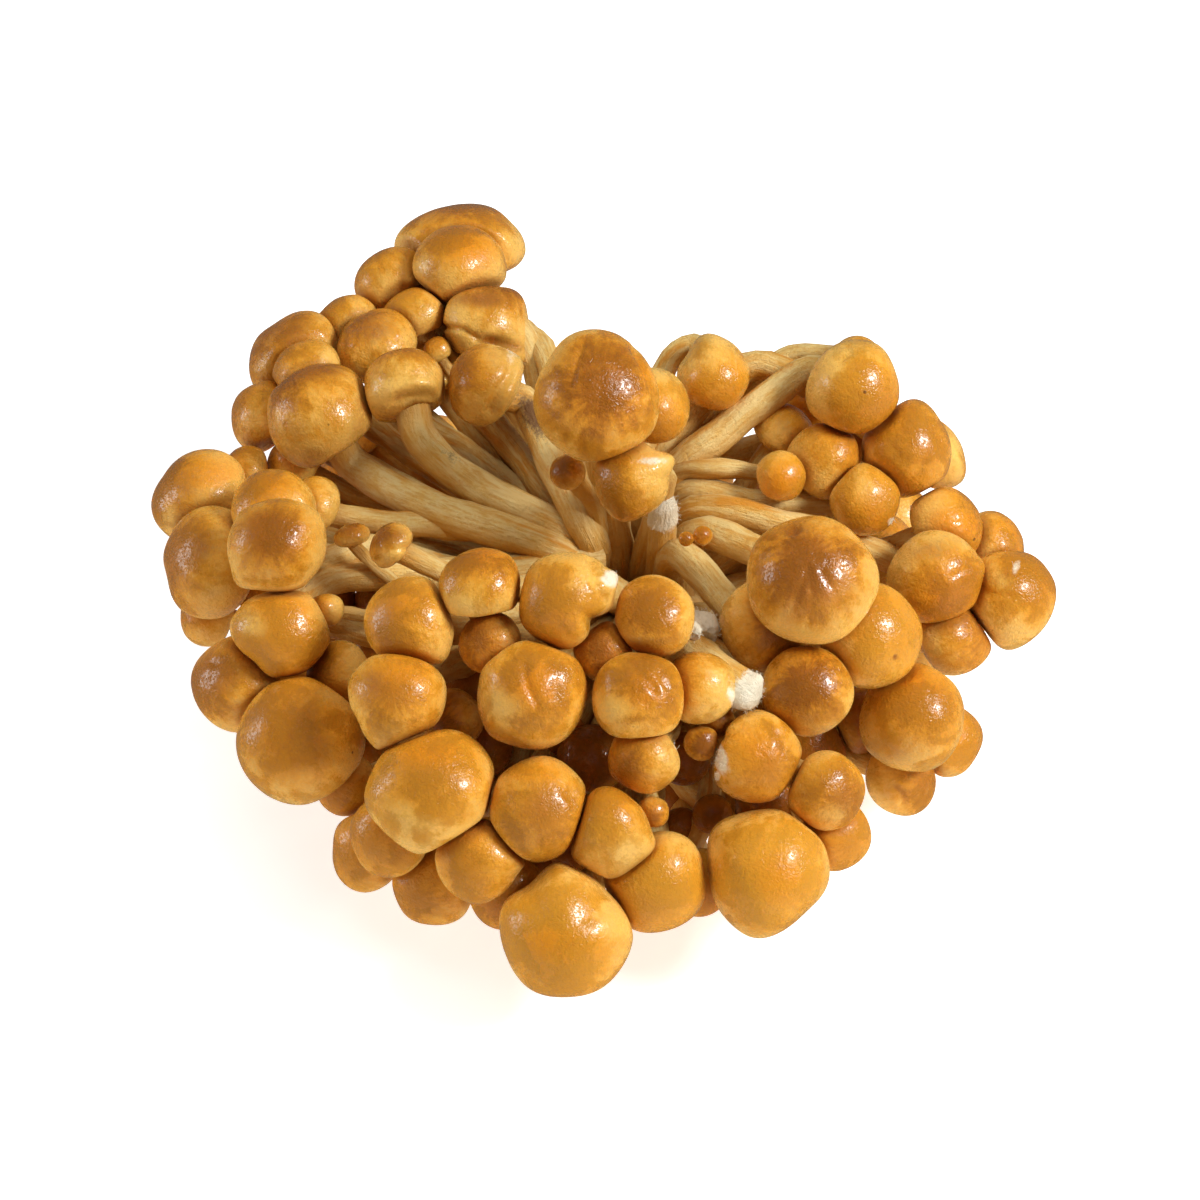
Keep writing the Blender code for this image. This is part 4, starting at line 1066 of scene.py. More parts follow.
OUTER_PULLS = {
    ("left", 2): Pull(178, 1.6, 40), ("left", 9): Pull(-168, 1.4, 35), ("front", 10): Pull(-115, 1.3, 35),
    ("front_right", 6): Pull(-60, 1.0, 40), ("left", 0): Pull(-90, 0.8, 40),
    ("right", 12): Pull(-15, 1.2, 35),
    ("crown", 0): Pull(118, 1.0, 22), ("front", 3): Pull(-5, 0.8, 30), ("front_right", 5): Pull(10, 1.0, 35),
    ("right", 0): Pull(60, 0.8, 25), ("high", 0): Pull(25, -1.0, 20), ("high", 7): Pull(120, -0.8, 25),
    ("right", 10): Pull(5, -0.7, 25), ("crown", 4): Pull(145, -1.0, 30),
    ("front_right", 10): Pull(-50, -0.8, 25),
    ("left", 5): Pull(-160, -0.8, 25), ("high", 12): Pull(150, 0.8, 30),
}
for cap, pull in OUTER_PULLS.items():
    MARKS[cap] = (*MARKS.get(cap, ()), pull)
print("caps with marks:", len(MARKS))

# %% Working out the marks
KINDS = ("toast", "orange", "bruise", "pale", "torn", "wrinkle", "crease_shade")
# How near another cap, in millimetres, the skin gets its painted shade.
CREASE_SHADE_REACH = 2.0


def inside(seen, mark):
    """How far out each point lies in a mark's ellipse: 0 in its middle, 1 on its rim."""
    turn = math.radians(mark.turn)
    away = seen - (mark.across, mark.up)
    x = away @ (math.cos(turn), math.sin(turn))
    y = away @ (-math.sin(turn), math.cos(turn))
    return np.hypot(x / mark.wide, y / mark.high)


def from_path(seen, path):
    """How far each point is from a line of places."""
    nearest = np.full(len(seen), 1e9)
    for a, b in zip(path[:-1], path[1:]):
        a, way = np.array(a), np.subtract(b, a)
        share = np.clip((seen - a) @ way / (way @ way), 0, 1)
        nearest = np.minimum(nearest, np.linalg.norm(seen - a - share[:, None] * way, axis=1))
    return nearest


def pulled(points, m, marks):
    """Moves the outline out in the directions of the pulls."""
    flat = np.stack([(points - m.centre) @ ACROSS, (points - m.centre) @ UP], axis=1)
    reach = np.linalg.norm(flat, axis=1) + 1e-6
    turn = np.degrees(np.arctan2(flat[:, 1], flat[:, 0]))
    share = np.zeros(len(points))
    for mark in marks:
        if isinstance(mark, Pull):
            away = (turn - mark.turn + 180) % 360 - 180
            share += mark.much * np.exp(-((away / mark.spread) ** 2)) * (reach / (m.width / 2)) ** 1.5 / reach
    return points + share[:, None] * (flat[:, :1] * ACROSS + flat[:, 1:] * UP)


def marked(points, m, marks, shift):
    """Presses dents and grooves in, and gives how much of each spot every point has."""
    seen = as_read(points) - shift
    out = points - m.centre
    near = np.clip((out @ TOWARD / (m.width / 2) + 0.3) / 0.45, 0, 1)
    deep = np.zeros(len(points))
    amounts = {kind: np.zeros(len(points)) for kind in KINDS}
    for mark in marks:
        if isinstance(mark, Dent):
            deep += mark.deep * np.exp(-inside(seen, mark) ** 2)
        elif isinstance(mark, Groove):
            deep += mark.deep * np.exp(-((from_path(seen, mark.path) / mark.wide) ** 2))
        elif isinstance(mark, Spot):
            here = mark.much * np.exp(-inside(seen, mark) ** 2.5) * near
            amounts[mark.kind] = np.maximum(amounts[mark.kind], here)
    outward = out / np.linalg.norm(out, axis=1)[:, None]
    return points - (deep * near)[:, None] * outward, amounts


# %% [markdown]
# ## Relief and torn fibres
#
# Skin that has dried a little is drawn into fine wrinkles, and where a neighbour was torn away short
# white fibres stand up. Both follow the surface, so one Geometry Nodes tree makes them on any piece:
# it moves each point along its normal by a noise, more where the mesh says wrinkle, and it sets bent
# fibres where the mesh says torn.

# %% Geometry Nodes helpers


def new_tree(name, inputs):
    """A tree that takes geometry and named inputs and gives geometry."""
    tree = bpy.data.node_groups.new(name, "GeometryNodeTree")
    tree.interface.new_socket("Geometry", in_out="INPUT", socket_type="NodeSocketGeometry")
    for socket, kind in inputs:
        tree.interface.new_socket(socket, in_out="INPUT", socket_type=kind)
    tree.interface.new_socket("Geometry", in_out="OUTPUT", socket_type="NodeSocketGeometry")
    return tree, tree.nodes.new("NodeGroupInput").outputs, tree.nodes.new("NodeGroupOutput").inputs


def grown(obj, tree, values):
    """Runs a tree on an object and keeps what it makes as the object's own mesh."""
    modifier = obj.modifiers.new(tree.name, "NODES")
    modifier.node_group = tree
    for item in tree.interface.items_tree:
        if item.in_out == "INPUT" and item.name in values:
            modifier[item.identifier] = values[item.name]
    graph = bpy.context.evaluated_depsgraph_get()
    mesh = bpy.data.meshes.new_from_object(obj.evaluated_get(graph))
    obj.modifiers.clear()
    obj.data = mesh
    return obj


def named(tree, name, kind="FLOAT"):
    node = put(tree, "GeometryNodeInputNamedAttribute", {"Name": name}, data_type=kind)
    return node.outputs["Attribute"]


def stored(tree, geometry, name, value, kind="FLOAT"):
    node = put(tree, "GeometryNodeStoreNamedAttribute", {"Geometry": geometry, "Name": name, "Value": value},
               data_type=kind, domain="POINT")
    return node.outputs[0]


def finished(tree, geometry, material, out):
    """The end of every tree: smooth faces, plain geometry, and its material."""
    geometry = put(tree, "GeometryNodeSetShadeSmooth", {"Geometry": geometry}).outputs[0]
    geometry = put(tree, "GeometryNodeRealizeInstances", {"Geometry": geometry}).outputs[0]
    geometry = put(tree, "GeometryNodeSetMaterial", {"Geometry": geometry, "Material": material}).outputs[0]
    tree.links.new(geometry, out["Geometry"])


# %% A tree for wrinkled and torn surfaces
EVERYWHERE = 0.15


def moved_out(tree, geometry, distance):
    """Moves each point along its normal."""
    normal = put(tree, "GeometryNodeInputNormal").outputs[0]
    offset = put(tree, "ShaderNodeVectorMath", {0: normal, "Scale": distance}, operation="SCALE").outputs[0]
    return put(tree, "GeometryNodeSetPosition", {"Geometry": geometry, "Offset": offset}).outputs[0]


def make_surface_tree():
    tree, given, out = new_tree("wrinkles and torn fibres", [
        ("Wrinkle Depth", "NodeSocketFloat"), ("Wrinkle Scale", "NodeSocketFloat"),
        ("Fibres", "NodeSocketFloat"), ("Fibre Length", "NodeSocketFloat"), ("Skin", "NodeSocketMaterial"),
    ])
    place = put(tree, "GeometryNodeInputPosition").outputs[0]
    wrinkles = noise(tree, place, given["Wrinkle Scale"], 2.0, distortion=0.8)
    wrinkled = worked(tree, "ADD", named(tree, "wrinkle"), EVERYWHERE)
    depth = worked(tree, "MULTIPLY", given["Wrinkle Depth"], wrinkled)
    lift = worked(tree, "MULTIPLY", worked(tree, "SUBTRACT", wrinkles, 0.5), depth)
    skin = moved_out(tree, given["Geometry"], lift)
    density = worked(tree, "MULTIPLY", given["Fibres"], step(tree, named(tree, "torn"), 0.3, 0.6))
    spots = put(tree, "GeometryNodeDistributePointsOnFaces", {"Mesh": skin, "Density": density, "Seed": 4})
    bend = put(tree, "GeometryNodeCurvePrimitiveBezierSegment", {
        "Resolution": 4, "Start": (0, 0, -0.15), "Start Handle": (0, 0, 0.4), "End Handle": (0.1, 0, 0.8),
        "End": (0.5, 0.1, 1.0)}).outputs[0]
    round_it = put(tree, "GeometryNodeCurvePrimitiveCircle", {"Resolution": 3, "Radius": 0.055}).outputs[0]
    fibre = put(tree, "GeometryNodeCurveToMesh", {"Curve": bend, "Profile Curve": round_it,
                                                  "Fill Caps": True}).outputs[0]
    spin = put(tree, "FunctionNodeRandomValue", {0: (-0.7, -0.7, 0.0), 1: (0.7, 0.7, 6.28), "Seed": 5},
               data_type="FLOAT_VECTOR").outputs[0]
    facing = put(tree, "FunctionNodeRotateRotation", {0: spots.outputs["Rotation"], 1: spin},
                 rotation_space="LOCAL").outputs[0]
    size = put(tree, "FunctionNodeRandomValue", {2: 0.35, 3: 1.0, "Seed": 6}, data_type="FLOAT").outputs[1]
    size = worked(tree, "MULTIPLY", size, given["Fibre Length"])
    fibres = put(tree, "GeometryNodeInstanceOnPoints", {"Points": spots.outputs[0], "Instance": fibre,
                                                        "Rotation": facing, "Scale": size}).outputs[0]
    fibres = put(tree, "GeometryNodeRealizeInstances", {"Geometry": fibres}).outputs[0]
    fibres = stored(tree, fibres, "torn", 1.0)
    joined = tree.nodes.new("GeometryNodeJoinGeometry")
    tree.links.new(fibres, joined.inputs[0])
    tree.links.new(skin, joined.inputs[0])
    finished(tree, joined.outputs[0], given["Skin"], out)
    return tree


surface_tree = make_surface_tree()
print("nodes in the surface tree:", len(surface_tree.nodes))

# %% [markdown]
# ## One piece for each solid
#
# The caps are now built group by group. Besides its shape, a piece carries the numbers that the skin
# reads. Each piece then stands for its CAD node and rides on the one body of the model.

# %% Building the caps
LUMP, HIDDEN_LUMP = 0.022, 0.036
CORNERED = 0.018
MARGIN_FOLDS, FOLD_DEPTH, FOLDS_FROM = 26, 0.010, 2.2
# How dark the deep caps are painted all over: painted shade.
DEEP_CAP_SHADE = 0.8
# Depth and length are in metres, fibres are counted on a square metre.
SURFACE = {"Wrinkle Depth": 0.0006, "Wrinkle Scale": 520.0, "Fibres": 1.6e6, "Fibre Length": 0.0008}
table = [(region, k, cap) for region, caps in CAPS.items() for k, cap in enumerate(caps)]


def steps_for(m):
    if not m.seen:
        return COARSE
    return next(steps for width, steps in FINENESS if m.width >= width)


def looks_of(i, rng):
    """(tone, yellow, marks) of a cap."""
    if i < len(table) and mushrooms[i].seen:
        region, k, _ = table[i]
        return (*TONES[region][k], MARKS.get((region, k), ()))
    # Deep caps draw dark tones and little yellow: painted shade.
    if i < len(table):
        return rng.uniform(0.6, 0.95), rng.uniform(0.0, 0.3), ()
    return rng.uniform(0.1, 0.6), rng.uniform(0.1, 0.7), ()


def fine_cap(i):
    """Points, faces and numbers for the skin of one cap."""
    m = mushrooms[i]
    rng = np.random.default_rng(SEED * 1000 + i)
    tone, yellow, marks = looks_of(i, rng)
    directions, faces = balls[steps_for(m)]
    polar = np.arccos(np.clip(directions[:, 2], -1, 1))
    round_it = np.arctan2(directions[:, 1], directions[:, 0])
    radius = np.interp(np.degrees(polar), np.arange(181), profile)
    radius *= 1 + (LUMP if m.seen else HIDDEN_LUMP) * slow_lumps(directions, rng)
    corners, first = rng.integers(3, 6), rng.uniform(0, 2 * math.pi)
    radius *= 1 + CORNERED * np.cos(corners * (round_it - first)) * np.sin(polar) ** 2
    folded = np.clip((polar - FOLDS_FROM) / 0.4, 0, 1)
    radius *= 1 + FOLD_DEPTH * np.cos(MARGIN_FOLDS * round_it) * folded
    half = m.width / 2
    rise = m.height / USUAL_HEIGHT
    side, other = frame_of(m.axis)
    local = directions * radius[:, None] * half
    points = m.centre + local[:, :1] * side + local[:, 1:2] * other + local[:, 2:] * rise * m.axis
    points = pulled(points, m, marks)
    planes = [contact_plane(m, mushrooms[b if a == i else a]) for _, a, b in pressed if i in (a, b)]
    points = press(points, planes)
    shift = as_read(m.centre[None])[0] - table[i][2][:2] if i < len(table) else np.zeros(2)
    points, amounts = marked(points, m, marks, shift)
    # Deep caps are darkened all over as painted shade.
    if m.region == "deep":
        amounts["toast"][:] = DEEP_CAP_SHADE
    # Skin close to another cap is darkened toward the brown of the tops: painted shade between the caps.
    for other in mushrooms:
        apart = np.linalg.norm(other.centre - m.centre)
        if other is not m and apart < outermost(m) + outermost(other) + CREASE_SHADE_REACH:
            gap = np.linalg.norm(points - other.centre, axis=1) - other.width / 2
            amounts["crease_shade"] = np.maximum(amounts["crease_shade"], np.clip(1 - gap / CREASE_SHADE_REACH, 0, 1) ** 1.5)
    numbers = {"polar": polar / math.pi, "tone": np.full(len(points), tone),
               "yellow": np.full(len(points), yellow), **amounts}
    own = 0.45 * polar + rng.uniform(0, 50)
    numbers["spoke"] = np.stack([np.cos(round_it), np.sin(round_it), own], axis=1)
    return points, faces, numbers


def new_piece(name, points, faces, material):
    mesh = bpy.data.meshes.new(name)
    mesh.from_pydata((np.asarray(points) * MM).tolist(), [], np.asarray(faces).tolist())
    mesh.materials.append(material)
    mesh.shade_smooth()
    obj = bpy.data.objects.new(name, mesh)
    bpy.context.scene.collection.objects.link(obj)
    return obj


def carry(obj, name, values):
    """Puts one number, or three, for each point on a mesh."""
    values = np.asarray(values, np.float32)
    kind, slot = ("FLOAT_VECTOR", "vector") if values.ndim == 2 else ("FLOAT", "value")
    obj.data.attributes.new(name, kind, "POINT").data.foreach_set(slot, values.ravel())


def fused(name, parts, material):
    """One piece of several parts, each of them points, faces and numbers to carry."""
    first = np.cumsum([0] + [len(points) for points, _, _ in parts[:-1]])
    faces = np.concatenate([faces + start for (_, faces, _), start in zip(parts, first)])
    piece = new_piece(name, np.concatenate([points for points, _, _ in parts]), faces, material)
    for key in parts[0][2]:
        carry(piece, key, np.concatenate([numbers[key] for _, _, numbers in parts]))
    return piece


def triangles_in(obj):
    return sum(len(face.vertices) - 2 for face in obj.data.polygons)


def dress(obj, slot, *nodes):
    """A finished piece stands for its nodes and rides on the one body."""
    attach(obj, "root")
    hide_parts(*nodes)


triangles = 0
for name, members in cap_nodes:
    piece = fused("skin_" + name, [fine_cap(i) for i in members], cap_skin)
    grown(piece, surface_tree, {**SURFACE, "Skin": cap_skin})
    dress(piece, "cap_skin", name)
    triangles += triangles_in(piece)
print("triangles in the caps:", triangles)

# %% [markdown]
# ## Stems
#
# Each stem leaves the butt, swings out and bends into the axis of its cap, round the caps of its
# neighbours. Its middle line is the same as in the solids. A Geometry Nodes tree does the rest for
# all of them: it sweeps a round section along each line, lets it swell and narrow, and furrows it
# lengthwise.

# %% The middle lines of the stems
STEM_PARTS, THICK_STEM_PARTS = 3, 5
THICK_STEM = 5.0
STEM_TAPER = (1.12, 0.94)
FOOT_SPREAD = (3.5, 14.5)
FOOT_HEIGHT = (8.0, 25.0)
CLEAR_OF_CAPS = 1.3
LEVEL_OFF = 0.12
SPRING_BACK = 0.1
TORN_STEMS = ((5.3, 10.0, 20.0, 5.4), (13.6, -14.5, 36.0, 5.6))
INTO_CAP = 1.4

# Stems between the others whose caps are hidden: thickness, then places from foot to end.
SIDE_STEMS = (
    (4.4, ((4, 12, 2), (13, 21.5, -4), (21, 29.5, -6), (29, 35, -6), (38, 34, 0))),
    (5.0, ((4, 10, 2), (12, 15.5, -6), (19.5, 17.6, -6), (27, 20, -4))),
    (3.4, ((4, 12, 0), (11, 22, -4), (14, 30, 2))),
    (5.0, ((-4, 4, 4), (-12, 17, -8), (-16.5, 28, -12), (-20, 38, -12), (-25, 44, -10))),
    (6.0, ((-1, -24, 6), (5, -37, 10), (12, -44, 14), (22, -48, 26))),
    (5.5, ((4, -20, 2), (10, -36, 5), (9, -48, 13), (12, -60, 31))),
    (5.0, ((-5, -22, 6), (-7, -40, 8), (-5, -54, 16), (1, -61, 38))),
    (5.0, ((-8, -18, 6), (-17, -38, 8), (-28, -50, 16), (-35, -60.5, 32))),
    (4.5, ((6, -16, 6), (20, -30, 8), (30, -42, 12), (38, -50.5, 29))),
    (5.5, ((-6, -2, 8), (-25, -4, 13), (-44, -4.5, 18), (-56, -6, 22), (-63, -12, 30))),
    (4.5, ((-6, 0, 6), (-25, 3.5, 8), (-46, 5, 12), (-57, 7, 14))),
)
BROKEN_STEMS = (
    (7.0, ((9, -18, 30), (15, -22.5, 42), (22.5, -27.0, 46))),
    (3.4, ((4, -8, 34), (7, -12, 42), (11.5, -15.2, 46))),
)


def outline_of(m):
    return SMALL_CAP_OUTLINE if m.width < SMALL_CAP or not m.seen else CAP_OUTLINE


def stem_top(m):
    """The middle of a stem's end: as near to the hollow under the cap as the stem's edge allows."""
    half = m.width / 2
    margin, depth = outline_of(m)[-1]
    edge = STEM_TAPER[1] * m.stem / 2 / (margin * half)
    under = np.interp(edge, (0, 1), (CAP_DIMPLE, depth)) * half * m.height / USUAL_HEIGHT
    return m.centre + m.axis * (under - STEM_GAP)


def stem_line(m, foot, parts):
    """Points from the butt to the cap: up at the foot, then over to the cap's axis. Where the places
    on the way are known, they are its points."""
    top = stem_top(m)
    length = np.linalg.norm(top - foot)
    if m.via:
        return np.array([foot, *m.via, top - LEVEL_OFF * length * m.axis, top])
    start = unit(unit(top - foot) + np.array([0.0, 0.0, 0.3]))
    bends = (foot, foot + 0.36 * length * start, top - 0.30 * length * m.axis, top)
    steps = np.linspace(0, 1, parts + 1)[:, None]
    weights = ((1 - steps) ** 3, 3 * steps * (1 - steps) ** 2, 3 * steps**2 * (1 - steps), steps**3)
    return sum(w * p for w, p in zip(weights, bends))


def foot_of(centre):
    """Where in the butt a stem starts: low and far out for a low cap, high and near the middle for a
    high one."""
    out = centre[:2] - CROWN[:2]
    high = float(np.clip((centre[2] - 8) / 62, 0, 1))
    spread = np.interp(1 - high, (0, 1), FOOT_SPREAD)
    return np.array([*(unit(out) * spread), np.interp(high, (0, 1), FOOT_HEIGHT)])


def bent_clear(line, own, mushrooms):
    """Bends a stem round the caps of other mushrooms, with both ends kept, and as near to its own
    curve as it can."""
    start = line[1:-1].copy()
    line = line.copy()
    others = [m for m in mushrooms if m is not own]
    middles = np.array([m.centre for m in others])
    keep_off = np.array([m.width / 2 for m in others]) + own.stem / 2 + CLEAR_OF_CAPS
    for _ in range(60):
        apart = line[1:-1, None, :] - middles[None, :, :]
        distance = np.linalg.norm(apart, axis=2) + 1e-9
        short = np.clip(keep_off[None, :] - distance, 0, None)
        line[1:-1] += (apart / distance[:, :, None] * short[:, :, None]).sum(axis=1) * 0.6
        line[1:-1] += SPRING_BACK * (start - line[1:-1])
    return line


def rounded(line, between):
    """A smooth line through the given points."""
    ends = np.concatenate([[2 * line[0] - line[1]], line, [2 * line[-1] - line[-2]]])
    found = []
    for a, b, c, d in zip(ends[:-3], ends[1:-2], ends[2:-1], ends[3:]):
        for t in np.arange(between) / between:
            found.append(0.5 * (2 * b + (c - a) * t + (2 * a - 5 * b + 4 * c - d) * t**2
                                + (3 * b - a - 3 * c + d) * t**3))
    return np.array(found + [line[-1]])


stem_lines = []
for m in mushrooms:
    parts = THICK_STEM_PARTS if m.stem > THICK_STEM else STEM_PARTS
    line = bent_clear(stem_line(m, foot_of(m.centre), parts), m, mushrooms)
    line = np.concatenate([line, [line[-1] + m.axis * INTO_CAP]])
    stem_lines.append((rounded(line, 6), m.stem, True))
for across, up, toward, thick in TORN_STEMS:
    end = at(across, up, toward)
    foot = foot_of(end)
    stem_lines.append((rounded(np.array([foot, (foot + end) / 2 + (0, 0, 2), end]), 9), thick, False))
for thick, path in SIDE_STEMS:
    stem_lines.append((rounded(np.array([at(*place) for place in path]), 8), thick, True))
for thick, path in BROKEN_STEMS:
    stem_lines.append((rounded(np.array([at(*place) for place in path]), 9), thick, False))
print("stems:", len(stem_lines))

# %% A tree that sweeps stems


def make_stem_tree():
    tree, given, out = new_tree("stems along their lines", [
        ("Rings", "NodeSocketInt"), ("Sides", "NodeSocketInt"), ("Swelling", "NodeSocketFloat"),
        ("Furrows", "NodeSocketFloat"), ("Flesh", "NodeSocketMaterial"),
    ])
    curves = put(tree, "GeometryNodeMeshToCurve", {"Mesh": given["Geometry"]}).outputs[0]
    curves = put(tree, "GeometryNodeResampleCurve", {"Curve": curves, "Count": given["Rings"]}).outputs[0]
    way = put(tree, "GeometryNodeSplineParameter")
    curves = stored(tree, curves, "along", way.outputs["Factor"])
    curves = stored(tree, curves, "far", way.outputs["Length"])
    section = put(tree, "GeometryNodeCurvePrimitiveCircle", {"Resolution": given["Sides"], "Radius": 1.0})
    turn = put(tree, "GeometryNodeSplineParameter").outputs["Factor"]
    section = stored(tree, section.outputs[0], "turn", worked(tree, "MULTIPLY", turn, 2 * math.pi))
    swept = put(tree, "GeometryNodeCurveToMesh", {"Curve": curves, "Profile Curve": section,
                                                  "Scale": named(tree, "half"), "Fill Caps": True}).outputs[0]
    turn = named(tree, "turn")
    grain = put(tree, "ShaderNodeCombineXYZ", {
        0: worked(tree, "COSINE", turn), 1: worked(tree, "SINE", turn),
        2: worked(tree, "MULTIPLY_ADD", named(tree, "far"), 60.0, named(tree, "own"))}).outputs[0]
    swept = stored(tree, swept, "grain", grain, "FLOAT_VECTOR")
    furrow = noise(tree, grain, 1.6, 2.0)
    swell = noise(tree, put(tree, "GeometryNodeInputPosition").outputs[0], 170.0, 1.0)
    lift = worked(tree, "MULTIPLY", worked(tree, "SUBTRACT", furrow, 0.5), given["Furrows"])
    more = worked(tree, "MULTIPLY", worked(tree, "SUBTRACT", swell, 0.5), given["Swelling"])
    swept = moved_out(tree, swept, worked(tree, "ADD", lift, more))
    finished(tree, swept, given["Flesh"], out)
    return tree


# %% Sweeping the stems
STEM_RINGS, STEM_SIDES = 34, 18
SWELLING, FURROWS = 0.0012, 0.0011
FLARE, FLARE_FROM = 0.16, 0.82
TIP_FROM, TORN_FROM = 0.86, 0.70


def line_mesh(name, lines):
    """All middle lines as one mesh of edges, with each stem's half thickness and own number."""
    points, edges, halves, own, torn = [], [], [], [], []
    rng = np.random.default_rng(SEED)
    for line, thick, to_cap in lines:
        way = np.linspace(0, 1, len(line))
        flare = FLARE * np.clip((way - FLARE_FROM) / (1 - FLARE_FROM), 0, 1) ** 2 if to_cap else 0
        first = len(points)
        points += list(line * MM)
        edges += [(first + k, first + k + 1) for k in range(len(line) - 1)]
        tip = 1 if to_cap else np.sqrt(1 - np.clip((way - TIP_FROM) / 0.143, 0, 1) ** 2)
        halves += list(thick / 2 * MM * (np.interp(way, (0, 1), STEM_TAPER) + flare) * tip)
        own += [rng.uniform(0, 90)] * len(line)
        torn += [0.0] * len(line) if to_cap else list(np.clip((way - TORN_FROM) / 0.15, 0, 1))
    mesh = bpy.data.meshes.new(name)
    mesh.from_pydata(points, edges, [])
    obj = bpy.data.objects.new(name, mesh)
    bpy.context.scene.collection.objects.link(obj)
    carry(obj, "half", halves)
    carry(obj, "own", own)
    carry(obj, "torn", torn)
    return obj


stems = grown(line_mesh("stems", stem_lines), make_stem_tree(), {
    "Rings": STEM_RINGS, "Sides": STEM_SIDES, "Swelling": SWELLING, "Furrows": FURROWS, "Flesh": stem_flesh})
print("triangles swept:", triangles_in(stems))

# %% [markdown]
# The deeper a stem goes between the others, the less light it gets, and there it is painted dark
# brown as painted shade. One more number says how deep each point lies: how near the crown's middle,
# and how many stems it looks at close by. The side of each stem turned away from above is painted
# amber, also as painted shade. A few stems that show have stains, read like the spots of the caps.
# Then the tree of the caps' surfaces runs here too and sets torn fibres on the broken ends.

# %% Dark depths and stains
STEM_SPOTS = (
    Spot("bruise", -18.5, 24.5, 2.2, 5.5, 30, 0.9), Spot("orange", -14, 12, 2, 6, 30, 0.35),
    Spot("orange", -33, 12.5, 7, 1.5, -25, 0.35), Spot("orange", 12, 2, 2.4, 1.6, 0, 0.9),
    Spot("orange", 27, 33, 6, 1.2, 20, 0.4), Spot("bruise", -34, 17.5, 3, 1.5, -30, 0.4),
)
STEM_KINDS = ("orange", "bruise")
CORE, CORE_REACH = np.array([0.0, 0.0, 18.0]), 30
CLEFT, CROWDED = 6.0, 2.6


def points_of(obj):
    places = np.empty(len(obj.data.vertices) * 3, np.float32)
    obj.data.vertices.foreach_get("co", places)
    return places.reshape(-1, 3) / MM


def stained(obj):
    """Puts the stains on a mesh of stems."""
    places = points_of(obj)
    seen = as_read(places)
    near = np.clip(((places - CROWN) @ TOWARD + 24) / 6, 0, 1)
    for kind in STEM_KINDS:
        amount = np.zeros(len(places))
        for mark in STEM_SPOTS:
            if mark.kind == kind:
                amount = np.maximum(amount, mark.much * np.exp(-inside(seen, mark) ** 2.5) * near)
        carry(obj, kind, amount)


def crowding(obj, outward, lines):
    """How much each point of the stems looks at other stems close by: 0 in the open, 1 in a cleft."""
    places = points_of(obj)
    crowd = np.zeros(len(places))
    for line, thick, _ in lines:
        for place in line[::2]:
            away = place - places
            distance = np.linalg.norm(away, axis=1)
            facing = np.clip(np.einsum("ij,ij->i", away, outward) / distance, 0, 1)
            crowd += facing * np.clip(1 - (distance - thick / 2) / CLEFT, 0, 1) ** 2
    return np.clip(crowd / CROWDED, 0, 1)


outward = np.empty(len(stems.data.vertices) * 3, np.float32)
stems.data.vertex_normals.foreach_get("vector", outward)
outward = outward.reshape(-1, 3)
# How deep each point lies, for the painted shade: near the crown's middle and in clefts between stems.
from_core = np.linalg.norm(points_of(stems) - CORE, axis=1)
core = np.clip((CORE_REACH - from_core) / 26, 0, 1) ** 1.5
carry(stems, "deep", np.maximum(core, crowding(stems, outward, stem_lines) * 0.65))
# The side of each stem turned away from above gets painted shade.
carry(stems, "under", np.clip(0.35 - outward @ unit(UP + 0.4 * TOWARD), 0, 1))
stained(stems)
broken_ends = np.empty(len(stems.data.vertices), np.float32)
stems.data.attributes["torn"].data.foreach_get("value", broken_ends)
carry(stems, "wrinkle", 0.3 + 3.0 * broken_ends)
grown(stems, surface_tree, {**SURFACE, "Skin": stem_flesh})
dress(stems, "stem_flesh", "stems_and_butt")
print("triangles in the stems:", triangles_in(stems))

# %% [markdown]
# ## The butt
#
# All stems grow from one knot of flesh, cut flat when the bunch was picked. It is a lathe shape with
# lumps, and the bunch stands on its cut.

# %% The butt
BUTT_OUTLINE = ((18.0, 0.0), (20.5, 5.0), (17.0, 15.0), (10.5, 24.0), (4.0, 29.0))
BUTT_LUMPS = 0.07
BUTT_SIDES, BUTT_RINGS = 96, 34


def butt_shape():
    radii, heights = zip(*BUTT_OUTLINE)
    levels = np.linspace(0, len(BUTT_OUTLINE) - 1, BUTT_RINGS)
    turns = np.arange(BUTT_SIDES) * 2 * math.pi / BUTT_SIDES
    points = []
    for level in levels:
        r = np.interp(level, range(len(radii)), radii)
        z = np.interp(level, range(len(radii)), heights)
        lump = 1 + BUTT_LUMPS * np.sin(3 * turns + level) * np.cos(5 * turns - 2 * level)
        fibre = 0.35 * np.sin(23 * turns + 2.2 * np.sin(3 * turns + level)) * (level > 0)
        reach = r * lump + fibre
        points += list(np.stack([reach * np.cos(turns), reach * np.sin(turns), np.full(BUTT_SIDES, z)], 1))
    faces = []
    for ring in range(BUTT_RINGS - 1):
        low, high = ring * BUTT_SIDES, (ring + 1) * BUTT_SIDES
        for k in range(BUTT_SIDES):
            n = (k + 1) % BUTT_SIDES
            faces.append((low + k, low + n, high + n, high + k))
    bottom, top = len(points), len(points) + 1
    points += [np.array([0, 0, 0.0]), np.array([0, 0, BUTT_OUTLINE[-1][1]])]
    last = (BUTT_RINGS - 1) * BUTT_SIDES
    caps = [(bottom, (k + 1) % BUTT_SIDES, k) for k in range(BUTT_SIDES)]
    caps += [(top, last + k, last + (k + 1) % BUTT_SIDES) for k in range(BUTT_SIDES)]
    return np.array(points), faces, caps


